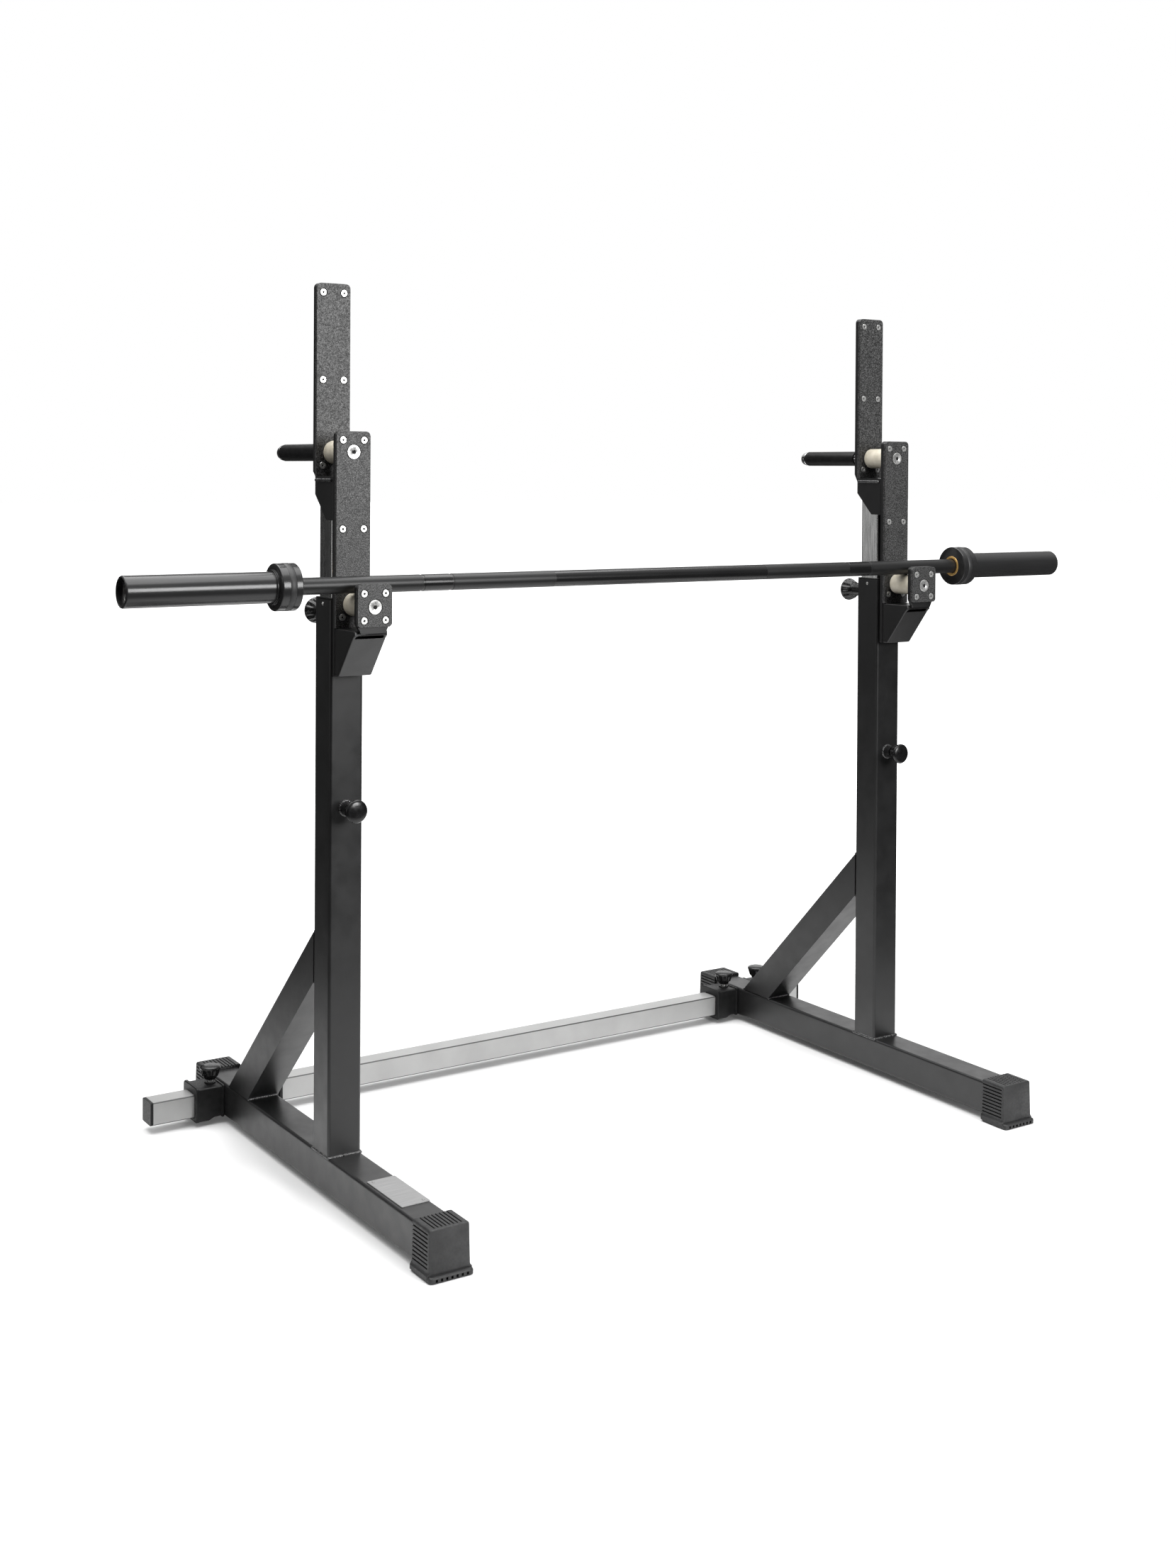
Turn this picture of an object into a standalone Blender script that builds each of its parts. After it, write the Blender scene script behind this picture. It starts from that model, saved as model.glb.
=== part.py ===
"""Adjustable two-post squat rack with a barbell resting in its lower hooks.

Metres, +Z up. +X runs along the barbell, -Y is the lifter's side, and the origin is on the
floor at the middle of the footprint. Each stand is a foot, an upright and a brace; a head with
two roller hooks telescopes out of each upright, and a crossbar through both feet joins them.
"""

import math

import bmesh
import bpy

# Play left between pieces that touch, how far a cutter starts outside the face it opens, and how
# far the shapes of one casting run into each other.
GAP = 0.0003
CUTTER_REACH = 0.001
OVERLAP = 0.002

# Stands: square tube, measured from the middle of the upright.
STAND_SPACING = 1.196
UPRIGHT_TOP = 0.991
FOOT_FRONT = 0.380
FOOT_TAIL = 0.095
TUBE = 0.060
TUBE_WALL = 0.003
TUBE_CORNER = 0.005
BRACE_LEG = 0.276

# Rubber foot caps. The sole lifts the foot tube off the floor.
SOLE_HEIGHT = 0.012
SOLE_OVERHANG = 0.0037
SOLE_PLATE = 0.009
SOLE_SLOPE = 0.002
SOLE_LEDGE = 0.010
CAP_LENGTH = 0.053
CAP_WALL = 0.004
CAP_TOP_WALL = 0.0055
CAP_END_WALL = 0.0057

# Crossbar, a square tube through the rear of both feet, some way behind the braces.
CROSSBAR = 0.042
CROSSBAR_WALL = 0.002
CROSSBAR_CORNER = 0.003
PLUG_CORNER = 0.002
CROSSBAR_LENGTH = 1.504
CROSSBAR_BEHIND_BRACE = 0.04985
CROSSBAR_SHIFT = -0.0085
CROSSBAR_PLAY = 0.0008
PLUG_HEAD = 0.005
PLUG_INSERT = 0.020

# Collars that guide the crossbar on both sides of each foot.
COLLAR_LENGTH = 0.054
COLLAR_WALL = 0.008
COLLAR_DROP = 0.0027
COLLAR_BOTTOM_WALL = 0.0067
COLLAR_RIM = 0.003
COLLAR_RIM_WIDTH = 0.005
COLLAR_RIM_STEP = 0.001
COLLAR_RELIEF = 0.005
COLLAR_KNOB_OFFSET = 0.016

# Fluted knobs, and the welded bosses that the lock pin and the height clamp sit in.
KNOB_RADIUS = 0.020
KNOB_HEIGHT = 0.026
KNOB_FLUTES = 12
KNOB_FLUTE_DEPTH = 0.12
KNOB_RIM = 0.8
KNOB_ROUNDING = 0.003
KNOB_SCREW_RADIUS = 0.005
KNOB_LIFT = 0.007
CLAMP_KNOB_RADIUS = 0.023
CLAMP_DROP = 0.025
CLAMP_STANDOFF = 0.022
PIN_DROP = 0.344
PIN_STANDOFF = 0.002
BOSS_RADIUS = 0.011
BOSS_LENGTH = 0.015
SCREW_PLAY = 0.0004

# Inner tube of the telescope, its lock holes and the plastic guide it runs in.
GUIDE_WALL = 0.0014
GUIDE_LENGTH = 0.060
GUIDE_RIM = 0.003
INNER_WALL = 0.003
INNER_CORNER = 0.004
INNER_TUBE_LIFT = 0.0767
LOCK_HOLE_RADIUS = 0.006
LOCK_HOLE_PITCH = 0.050
LOCK_END_MARGIN = 0.030

# Head: steel plates as wide as the tube, with plastic liners, around an upper and a lower hook.
HEAD_STANDOFF = 0.0074
HEAD_RISE = 0.243
HOOK_SPACING = 0.249
PLATE = 0.008
PLATE_CORNER = 0.008
PLATE_CUT = (0.008, 0.016)
LINER = 0.0062
LINER_OVERLAP = 0.0005
BACK_STANDOFF = 0.0023
LOWER_HOOK_WIDTH = 0.0653
BACK_PLATE_RISE = 0.282
FRONT_PLATE_RISE = 0.034
LIP_RISE = 0.037
LIP_LINER_DROP = 0.032
LIP_DROP = 0.043
UPPER_SHELF_DROP = 0.040
UPPER_SHELF = 0.005
LOWER_SHELF_DROP = 0.039
LOWER_SHELF = 0.008
BACK_PLATE_TAIL = 0.008
CHEEK = 0.005
UPPER_CHEEK_DROP = 0.072
UPPER_CHEEK_FOOT = 0.027
LOWER_CHEEK_DROP = 0.078
LOWER_CHEEK_FOOT = 0.014
LOWER_CHEEK_SETBACK = 0.006
LOWER_CHEEK_NECK = 0.013

# Rollers, their axle screws and the rear pegs.
ROLLER_RADIUS = 0.0195
ROLLER_END_PLAY = 0.0005
ROLLER_CHAMFER = 0.002
AXLE_RADIUS = 0.006
AXLE_HEAD_RADIUS = 0.0123
AXLE_HEAD = 0.0033
AXLE_HEAD_CHAMFER = 0.001
AXLE_TAIL = 0.0025
PEG_RADIUS = 0.012
PEG_STEP = 0.002
PEG_CHAMFER = 0.002
PEG_BOSS = 0.0244
PEG_TIP = 0.0127
PEG_THREAD_DEPTH = 0.010
PEG_SLEEVE_WALL = 0.0044
PEG_SLEEVE_LENGTH = 0.153

# Barbell.
BAR_LENGTH = 2.000
SHAFT_RADIUS = 0.014
SLEEVE_RADIUS = 0.025
SLEEVE_LENGTH = 0.247
BAR_COLLAR_RADIUS = 0.038
BAR_COLLAR_WIDTH = 0.036
BAR_COLLAR_CHAMFER = 0.003
SLEEVE_PLAY = 0.0004
SLEEVE_RIM = 0.004
SLEEVE_END_DEPTH = 0.015
SHAFT_END_GAP = 0.005
BUSH_WALL = 0.0049
BUSH_SEAT_DEPTH = 0.004

# Places and sizes worked out from those above, in a stand's own frame.
BRACE_FACE = TUBE / 2 + GAP
BRACE_CUT = TUBE * math.sqrt(2)
CROSSBAR_Y = BRACE_FACE + BRACE_LEG + BRACE_CUT + CROSSBAR_BEHIND_BRACE
FOOT_REAR = CROSSBAR_Y + FOOT_TAIL
UPRIGHT_Y = (FOOT_FRONT - FOOT_REAR) / 2
FOOT_TOP = SOLE_HEIGHT + TUBE
FOOT_MIDDLE = SOLE_HEIGHT + TUBE / 2
CROSSBAR_BOTTOM = SOLE_HEIGHT + TUBE_WALL + CROSSBAR_PLAY
CROSSBAR_MIDDLE = CROSSBAR_BOTTOM + CROSSBAR / 2
COLLAR_TOP = FOOT_TOP - COLLAR_DROP
CLAMP_KNOB_Z = UPRIGHT_TOP - CLAMP_DROP
PIN_KNOB_Z = UPRIGHT_TOP - PIN_DROP
UPPER_AXLE_Z = UPRIGHT_TOP + HEAD_RISE
LOWER_AXLE_Z = UPPER_AXLE_Z - HOOK_SPACING
GUIDE_OUTER = TUBE - 2 * TUBE_WALL - 2 * GAP
GUIDE_BORE = GUIDE_OUTER - 2 * GUIDE_WALL
INNER_TUBE = GUIDE_BORE - 2 * GAP
PLATE_WIDTH = TUBE
LINER_WIDTH = PLATE_WIDTH + 2 * LINER_OVERLAP
STRIP_BACK = -(TUBE / 2 + HEAD_STANDOFF)
STRIP_FACE = STRIP_BACK - PLATE
FRONT_LINER_FACE = STRIP_FACE - GAP - LINER
LIP_BACK = FRONT_LINER_FACE - LOWER_HOOK_WIDTH
LIP_FACE = LIP_BACK - PLATE
LIP_LINER_FACE = LIP_FACE - GAP - LINER
BACK_PLATE_FACE = TUBE / 2 + BACK_STANDOFF
BACK_LINER_FACE = BACK_PLATE_FACE - GAP - LINER
BACK_PLATE_BACK = BACK_PLATE_FACE + PLATE
UPPER_SHELF_TOP = UPPER_AXLE_Z - UPPER_SHELF_DROP
LOWER_SHELF_TOP = LOWER_AXLE_Z - LOWER_SHELF_DROP
LOWER_BRACKET_BOTTOM = LOWER_SHELF_TOP - LOWER_CHEEK_DROP
INNER_TUBE_TOP = UPPER_SHELF_TOP - UPPER_SHELF - GAP
INNER_TUBE_BOTTOM = FOOT_TOP + INNER_TUBE_LIFT
LOCK_HOLES = 1 + int((PIN_KNOB_Z - LOCK_END_MARGIN - INNER_TUBE_BOTTOM) / LOCK_HOLE_PITCH)
PEG_CORE_RADIUS = PEG_RADIUS - PEG_STEP
SLEEVE_BORE = SHAFT_RADIUS + SLEEVE_PLAY
BAR_Y = (FRONT_LINER_FACE + LIP_BACK) / 2
BAR_Z = LOWER_AXLE_Z + ROLLER_RADIUS + GAP + SHAFT_RADIUS

PLANES = {"X": (1, 2, 0), "Y": (0, 2, 1), "Z": (0, 1, 2)}
FACING = {
    "+X": (0, math.pi / 2, 0),
    "-X": (0, -math.pi / 2, 0),
    "+Y": (-math.pi / 2, 0, 0),
    "-Y": (math.pi / 2, 0, 0),
    "+Z": (0, 0, 0),
}


def clear_scene():
    for thing in list(bpy.data.objects):
        bpy.data.objects.remove(thing, do_unlink=True)


def make_material(name, colour, roughness, metallic=0.0):
    material = bpy.data.materials.new(name)
    material.use_nodes = True
    shader = material.node_tree.nodes["Principled BSDF"]
    shader.inputs["Base Color"].default_value = (*colour, 1)
    shader.inputs["Roughness"].default_value = roughness
    shader.inputs["Metallic"].default_value = metallic
    return material


def add_empty(name, location, parent=None):
    empty = bpy.data.objects.new(name, None)
    bpy.context.collection.objects.link(empty)
    empty.location = location
    empty.parent = parent
    return empty


def add_object(name, bm, material, parent, location=(0, 0, 0), facing="+Z"):
    """Turn a bmesh into a named object, shaded smooth with its real edges left sharp."""
    bmesh.ops.recalc_face_normals(bm, faces=bm.faces)
    mesh = bpy.data.meshes.new(name)
    bm.to_mesh(mesh)
    bm.free()
    mesh.shade_smooth()
    mesh.set_sharp_from_angle(angle=math.radians(30))
    mesh.materials.append(material)
    thing = bpy.data.objects.new(name, mesh)
    bpy.context.collection.objects.link(thing)
    thing.parent = parent
    thing.location = location
    thing.rotation_euler = FACING[facing]
    return thing


def shape(thing, tool, operation):
    """Add or cut with a hidden tool object, which stays as a guide."""
    tool.hide_render = True
    tool.display_type = "WIRE"
    modifier = thing.modifiers.new(tool.name, "BOOLEAN")
    modifier.operation = operation
    modifier.object = tool
    modifier.solver = "EXACT"


def rounded_rectangle(width, height, radius, centre=(0, 0), steps=3):
    """Outline of a rectangle whose corners are arcs of a few straight steps."""
    points = []
    for corner, (sx, sy) in enumerate(((1, 1), (-1, 1), (-1, -1), (1, -1))):
        for step in range(steps + 1):
            angle = math.radians(90 * corner + 90 * step / steps)
            x = centre[0] + sx * (width / 2 - radius) + radius * math.cos(angle)
            y = centre[1] + sy * (height / 2 - radius) + radius * math.sin(angle)
            points.append((x, y))
    return points


def rectangle(low_a, high_a, low_b, high_b):
    return [(low_a, low_b), (high_a, low_b), (high_a, high_b), (low_a, high_b)]


def plate_outline(width, bottom, top, radius, cut=None, steps=4):
    """Upright plate: round top corners, and square, round or slanted bottom corners."""
    half = width / 2
    points = []
    for corner, side in enumerate((1, -1)):
        for step in range(steps + 1):
            angle = math.radians(90 * corner + 90 * step / steps)
            x = side * (half - radius) + radius * math.cos(angle)
            points.append((x, top - radius + radius * math.sin(angle)))
    if cut is None:
        return points + [(-half, bottom), (half, bottom)]
    across, up = cut
    points += [(-half, bottom + up), (-half + across, bottom)]
    return points + [(half - across, bottom), (half, bottom + up)]


def prism_mesh(outline, start, end, axis, hole=None):
    """Extrude an outline along an axis. A hole outline with as many points makes a tube."""
    a, b, along = PLANES[axis]
    bm = bmesh.new()

    def loop(points):
        verts = []
        for u, v in points:
            place = [0.0, 0.0, 0.0]
            place[a], place[b], place[along] = u, v, start
            verts.append(bm.verts.new(place))
        return verts

    outer = loop(outline)
    if hole is None:
        bm.faces.new(outer)
    else:
        inner = loop(hole)
        for ring in (outer, inner):
            for first, second in zip(ring, ring[1:] + ring[:1]):
                bm.edges.new((first, second))
        bmesh.ops.bridge_loops(bm, edges=bm.edges[:])
    grown = bmesh.ops.extrude_face_region(bm, geom=bm.faces[:])
    shift = [0.0, 0.0, 0.0]
    shift[along] = end - start
    moved = [item for item in grown["geom"] if isinstance(item, bmesh.types.BMVert)]
    bmesh.ops.translate(bm, verts=moved, vec=shift)
    return bm


def turned_mesh(stations, segments=32, flutes=0, bored=False):
    """Rings of (distance, radius, flute depth) along +Z, capped, or closed on itself if bored."""
    bm = bmesh.new()
    rings = []
    for station in stations:
        distance, radius = station[:2]
        depth = station[2] if len(station) > 2 else 0
        ring = []
        for step in range(segments):
            angle = math.tau * (step + 0.5) / segments
            reach = radius * (1 - depth * (1 + math.cos(flutes * angle)) / 2)
            ring.append(bm.verts.new((reach * math.cos(angle), reach * math.sin(angle), distance)))
        rings.append(ring)
    pairs = list(zip(rings, rings[1:]))
    if bored:
        pairs.append((rings[-1], rings[0]))
    for low, high in pairs:
        for step in range(segments):
            after = (step + 1) % segments
            bm.faces.new((low[step], low[after], high[after], high[step]))
    if not bored:
        bm.faces.new(rings[0])
        bm.faces.new(rings[-1])
    return bm


def tube_mesh(size, wall, corner, start, end, axis, centre=(0, 0)):
    """Square tube with round corners."""
    outline = rounded_rectangle(size, size, corner, centre)
    hollow = size - 2 * wall
    hole = rounded_rectangle(hollow, hollow, max(corner - wall, corner / 4), centre)
    return prism_mesh(outline, start, end, axis, hole)


def drill(thing, name, parent, location, radius, depth, facing, segments=16):
    """Round hole, from a little before location to depth beyond it."""
    tool_mesh = turned_mesh([(-CUTTER_REACH, radius), (depth, radius)], segments)
    tool = add_object(name, tool_mesh, None, parent, location, facing)
    shape(thing, tool, "DIFFERENCE")


def build_foot(side, stand, steel):
    """Foot tube, open at both ends, with a window through both walls for the crossbar."""
    mesh = tube_mesh(TUBE, TUBE_WALL, TUBE_CORNER, -FOOT_FRONT, FOOT_REAR, "Y", (0, FOOT_MIDDLE))
    foot = add_object(f"{side}_foot_tube", mesh, steel, stand)
    reach = CROSSBAR / 2 + CROSSBAR_PLAY
    window = rectangle(
        CROSSBAR_Y - reach, CROSSBAR_Y + reach, CROSSBAR_MIDDLE - reach, CROSSBAR_MIDDLE + reach
    )
    tool = add_object(f"{side}_foot_window", prism_mesh(window, -TUBE, TUBE, "X"), None, stand)
    shape(foot, tool, "DIFFERENCE")


def build_upright(side, stand, steel):
    """Upright tube with a welded boss in front for the lock pin and one behind for the clamp."""
    mesh = tube_mesh(TUBE, TUBE_WALL, TUBE_CORNER, FOOT_TOP + GAP, UPRIGHT_TOP, "Z")
    upright = add_object(f"{side}_upright_tube", mesh, steel, stand)
    depth = TUBE_WALL + BOSS_LENGTH
    for label, z, facing, sign in (
        ("pin", PIN_KNOB_Z, "-Y", -1),
        ("clamp", CLAMP_KNOB_Z, "+Y", 1),
    ):
        start = sign * (TUBE / 2 - TUBE_WALL / 2)
        boss_mesh = turned_mesh([(0, BOSS_RADIUS), (TUBE_WALL / 2 + BOSS_LENGTH, BOSS_RADIUS)], 24)
        boss = add_object(f"{side}_{label}_boss", boss_mesh, None, stand, (0, start, z), facing)
        shape(upright, boss, "UNION")
        inside = sign * (TUBE / 2 - TUBE_WALL)
        drill(
            upright, f"{side}_{label}_hole", stand, (0, inside, z),
            KNOB_SCREW_RADIUS + SCREW_PLAY, depth + CUTTER_REACH, facing,
        )


def build_brace(side, stand, steel):
    """Brace tube at 45 degrees behind the upright, mitred on both ends."""
    start = BRACE_FACE
    foot = FOOT_TOP + GAP
    wall = TUBE_WALL * math.sqrt(2)

    def slice_of(inset, over):
        low, high = BRACE_LEG + inset, BRACE_LEG + BRACE_CUT - inset
        return [
            (start - over, foot + low + over),
            (start + low + over, foot - over),
            (start + high + over, foot - over),
            (start - over, foot + high + over),
        ]

    mesh = prism_mesh(slice_of(0, 0), -TUBE / 2, TUBE / 2, "X")
    brace = add_object(f"{side}_brace_tube", mesh, steel, stand)
    inner = TUBE / 2 - TUBE_WALL
    core = prism_mesh(slice_of(wall, TUBE_WALL), -inner, inner, "X")
    shape(brace, add_object(f"{side}_brace_core", core, None, stand), "DIFFERENCE")


def build_cap(side, end, stand, rubber):
    """Rubber cap over an end of the foot tube, with a wider sole that stands on the floor."""
    sign, tube_end = (-1, FOOT_FRONT) if end == "front" else (1, FOOT_REAR)
    half = TUBE / 2 + GAP + CAP_WALL
    top = FOOT_TOP + GAP + CAP_TOP_WALL
    sole = half + SOLE_OVERHANG
    shoulder = SOLE_PLATE + SOLE_SLOPE
    outline = [(-sole, 0), (sole, 0), (sole, SOLE_PLATE), (half, shoulder), (half, top)]
    outline += [(-half, top), (-half, shoulder), (-sole, SOLE_PLATE)]
    open_end = sign * (tube_end - CAP_LENGTH + CAP_END_WALL)
    closed_end = sign * (tube_end + GAP + CAP_END_WALL)
    cap = add_object(
        f"{side}_{end}_foot_cap", prism_mesh(outline, open_end, closed_end, "Y"), rubber, stand
    )
    ledge_end = closed_end + sign * SOLE_LEDGE
    ledge = prism_mesh(
        rectangle(-sole, sole, 0, SOLE_PLATE), closed_end - sign * OVERLAP, ledge_end, "Y"
    )
    shape(cap, add_object(f"{side}_{end}_ledge", ledge, None, stand), "UNION")
    pocket = TUBE / 2 + GAP
    hollow = rectangle(-pocket, pocket, SOLE_HEIGHT - GAP, FOOT_TOP + GAP)
    core = prism_mesh(hollow, open_end - sign * CUTTER_REACH, sign * (tube_end + GAP), "Y")
    shape(cap, add_object(f"{side}_{end}_pocket", core, None, stand), "DIFFERENCE")


def build_collar(side, place, sign, stand, plastic):
    """Collar beside the foot: guides the crossbar and carries the clamp screw on its top."""
    start = TUBE / 2 + GAP
    end = start + COLLAR_LENGTH
    low = CROSSBAR_BOTTOM - CROSSBAR_PLAY - COLLAR_BOTTOM_WALL
    reach = CROSSBAR / 2 + CROSSBAR_PLAY
    relief = start + COLLAR_LENGTH * 0.4
    outline = [
        (start, low + COLLAR_RELIEF), (relief, low + COLLAR_RELIEF),
        (relief + COLLAR_RELIEF, low), (end, low), (end, COLLAR_TOP), (start, COLLAR_TOP),
    ]
    outline = [(sign * x, z) for x, z in outline]
    half = reach + COLLAR_WALL
    mesh = prism_mesh(outline, CROSSBAR_Y - half, CROSSBAR_Y + half, "Y")
    collar = add_object(f"{side}_{place}_collar", mesh, plastic, stand)
    rim = rectangle(
        CROSSBAR_Y - half - COLLAR_RIM, CROSSBAR_Y + half + COLLAR_RIM,
        low + COLLAR_RIM_STEP, COLLAR_TOP + COLLAR_RIM,
    )
    rim_mesh = prism_mesh(
        rim, sign * (end - COLLAR_RIM_WIDTH), sign * (end + COLLAR_RIM_STEP), "X"
    )
    shape(collar, add_object(f"{side}_{place}_rim", rim_mesh, None, stand), "UNION")
    window = rectangle(
        CROSSBAR_Y - reach, CROSSBAR_Y + reach, CROSSBAR_MIDDLE - reach, CROSSBAR_MIDDLE + reach
    )
    core = prism_mesh(
        window, sign * (start - CUTTER_REACH), sign * (end + COLLAR_RIM_STEP + CUTTER_REACH), "X"
    )
    shape(collar, add_object(f"{side}_{place}_window", core, None, stand), "DIFFERENCE")
    drill(
        collar, f"{side}_{place}_hole", stand,
        (sign * (TUBE / 2 + COLLAR_KNOB_OFFSET), CROSSBAR_Y, CROSSBAR_MIDDLE),
        KNOB_SCREW_RADIUS + SCREW_PLAY, COLLAR_TOP - CROSSBAR_MIDDLE + CUTTER_REACH, "+Z",
    )


def knob_mesh(radius, screw_length):
    """Fluted knob on a screw. The knob's underside is at 0 and the screw's tip below it."""
    rim = radius * KNOB_RIM
    return turned_mesh(
        [
            (-screw_length, KNOB_SCREW_RADIUS), (0, KNOB_SCREW_RADIUS),
            (0, rim, KNOB_FLUTE_DEPTH / 2), (KNOB_ROUNDING, radius, KNOB_FLUTE_DEPTH),
            (KNOB_HEIGHT - KNOB_ROUNDING, radius, KNOB_FLUTE_DEPTH), (KNOB_HEIGHT, rim),
        ],
        segments=KNOB_FLUTES * 4, flutes=KNOB_FLUTES,
    )


def build_knobs(side, stand, plastic):
    """Two collar clamps, the spring-loaded lock pin in front and the upright's clamp behind."""
    screw = COLLAR_TOP + KNOB_LIFT - (CROSSBAR_BOTTOM + CROSSBAR + GAP)
    for place, sign in (("outer", 1), ("inner", -1)):
        outward = sign if side == "right" else -sign
        x = outward * (TUBE / 2 + COLLAR_KNOB_OFFSET)
        add_object(
            f"{side}_{place}_clamp_knob", knob_mesh(KNOB_RADIUS, screw), plastic, stand,
            (x, CROSSBAR_Y, COLLAR_TOP + KNOB_LIFT),
        )
    tip = INNER_TUBE / 2 + 2 * GAP
    pin = TUBE / 2 + BOSS_LENGTH + PIN_STANDOFF
    clamp = TUBE / 2 + BOSS_LENGTH + CLAMP_STANDOFF
    add_object(
        f"{side}_lock_pin_knob", knob_mesh(KNOB_RADIUS, pin - tip), plastic, stand,
        (0, -pin, PIN_KNOB_Z), "-Y",
    )
    add_object(
        f"{side}_height_clamp_knob", knob_mesh(CLAMP_KNOB_RADIUS, clamp - tip), plastic, stand,
        (0, clamp, CLAMP_KNOB_Z), "+Y",
    )


def build_guide(side, stand, plastic):
    """Plastic guide pressed into the upright's mouth, with a rim that lies on the tube's end."""
    outer, bore = GUIDE_OUTER, GUIDE_BORE
    corner = TUBE_CORNER - TUBE_WALL
    rim_start = UPRIGHT_TOP + GAP
    mesh = prism_mesh(
        rounded_rectangle(outer, outer, corner), UPRIGHT_TOP - GUIDE_LENGTH,
        rim_start + GUIDE_RIM / 2, "Z", rounded_rectangle(bore, bore, INNER_CORNER),
    )
    guide = add_object(f"{side}_guide_bush", mesh, plastic, stand)
    rim = prism_mesh(
        rounded_rectangle(TUBE, TUBE, TUBE_CORNER), rim_start, rim_start + GUIDE_RIM, "Z",
        rounded_rectangle(bore, bore, INNER_CORNER),
    )
    shape(guide, add_object(f"{side}_guide_rim", rim, None, stand), "UNION")
    drill(
        guide, f"{side}_guide_hole", stand, (0, INNER_TUBE / 2 - INNER_WALL, CLAMP_KNOB_Z),
        KNOB_SCREW_RADIUS + SCREW_PLAY, TUBE / 2, "+Y",
    )


def build_inner_tube(side, head, silver):
    """Inner tube with a row of lock holes in its front wall."""
    mesh = tube_mesh(
        INNER_TUBE, INNER_WALL, INNER_CORNER, INNER_TUBE_BOTTOM, INNER_TUBE_TOP, "Z"
    )
    tube = add_object(f"{side}_inner_tube", mesh, silver, head)
    inside = -(INNER_TUBE / 2 - INNER_WALL)
    for hole in range(LOCK_HOLES):
        drill(
            tube, f"{side}_lock_hole_{hole}", head,
            (0, inside, PIN_KNOB_Z - hole * LOCK_HOLE_PITCH), LOCK_HOLE_RADIUS,
            2 * INNER_WALL, "-Y", segments=12,
        )


def build_brackets(side, head, steel):
    """Upper bracket, a saddle over the inner tube's end, and the folded box under the lip."""
    half = PLATE_WIDTH / 2
    front = STRIP_BACK + GAP
    rear = BACK_PLATE_FACE - GAP
    foot = UPPER_SHELF_TOP - UPPER_CHEEK_DROP
    slope_start = UPPER_SHELF_TOP - UPPER_CHEEK_DROP + (rear - front - UPPER_CHEEK_FOOT)
    outline = [
        (front, UPPER_SHELF_TOP), (front, foot), (front + UPPER_CHEEK_FOOT, foot),
        (rear, slope_start), (rear, UPPER_SHELF_TOP),
    ]
    upper = add_object(
        f"{side}_upper_bracket", prism_mesh(outline, -half, half, "X"), steel, head
    )
    pocket = INNER_TUBE / 2 + GAP
    core = prism_mesh(
        rectangle(-pocket, rear + CUTTER_REACH, foot - CUTTER_REACH, INNER_TUBE_TOP + GAP),
        -pocket, pocket, "X",
    )
    shape(upper, add_object(f"{side}_upper_pocket", core, None, head), "DIFFERENCE")

    back = STRIP_FACE - GAP
    nose = LIP_BACK + GAP
    under_shelf = LOWER_SHELF_TOP - LOWER_SHELF
    slant_top = LOWER_SHELF_TOP - LOWER_CHEEK_NECK
    slant_front = nose + LOWER_CHEEK_SETBACK
    outline = [
        (back, LOWER_SHELF_TOP), (nose, LOWER_SHELF_TOP), (nose, under_shelf),
        (slant_front, slant_top), (back - LOWER_CHEEK_FOOT, LOWER_BRACKET_BOTTOM),
        (back, LOWER_BRACKET_BOTTOM),
    ]
    lower = add_object(
        f"{side}_lower_bracket", prism_mesh(outline, -half, half, "X"), steel, head
    )
    behind, ahead = back + CUTTER_REACH, nose - CUTTER_REACH
    cavity = [
        (behind, under_shelf), (ahead, under_shelf), (ahead, slant_top),
        (slant_front + CHEEK, slant_top),
        (back - LOWER_CHEEK_FOOT + CHEEK, LOWER_BRACKET_BOTTOM + CHEEK),
        (behind, LOWER_BRACKET_BOTTOM + CHEEK),
    ]
    core = prism_mesh(cavity, CHEEK - half, half - CHEEK, "X")
    shape(lower, add_object(f"{side}_lower_cavity", core, None, head), "DIFFERENCE")


def build_plates(side, head, steel, liner):
    """Back plate, front plate and lip, each faced with a plastic liner and drilled for its axle."""
    upper, lower = UPPER_AXLE_Z, LOWER_AXLE_Z
    back_bottom = UPPER_SHELF_TOP - BACK_PLATE_TAIL
    front_top, lip_top = upper + FRONT_PLATE_RISE, lower + LIP_RISE
    back_top = upper + BACK_PLATE_RISE
    pieces = (
        ("back_plate", steel, PLATE_WIDTH, BACK_PLATE_FACE, BACK_PLATE_BACK,
         back_bottom, back_top, PLATE_CUT, (upper,)),
        ("back_liner", liner, LINER_WIDTH, BACK_LINER_FACE, BACK_PLATE_FACE - GAP,
         UPPER_SHELF_TOP + GAP, back_top, None, (upper,)),
        ("front_plate", steel, PLATE_WIDTH, STRIP_FACE, STRIP_BACK,
         LOWER_BRACKET_BOTTOM, front_top, None, (upper, lower)),
        ("front_liner", liner, LINER_WIDTH, FRONT_LINER_FACE, STRIP_FACE - GAP,
         LOWER_SHELF_TOP + GAP, front_top, None, (upper, lower)),
        ("lip_plate", steel, PLATE_WIDTH, LIP_FACE, LIP_BACK,
         lower - LIP_DROP, lip_top, PLATE_CUT, (lower,)),
        ("lip_liner", liner, LINER_WIDTH, LIP_LINER_FACE, LIP_FACE - GAP,
         lower - LIP_LINER_DROP, lip_top, (PLATE_CORNER / 2, PLATE_CORNER / 2), (lower,)),
    )
    for name, material, width, face, back, bottom, top, cut, axles in pieces:
        mesh = prism_mesh(plate_outline(width, bottom, top, PLATE_CORNER, cut), face, back, "Y")
        plate = add_object(f"{side}_{name}", mesh, material, head)
        for index, z in enumerate(axles):
            drill(
                plate, f"{side}_{name}_hole_{index}", head, (0, back, z),
                AXLE_RADIUS + SCREW_PLAY, back - face + CUTTER_REACH, "-Y",
            )


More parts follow.
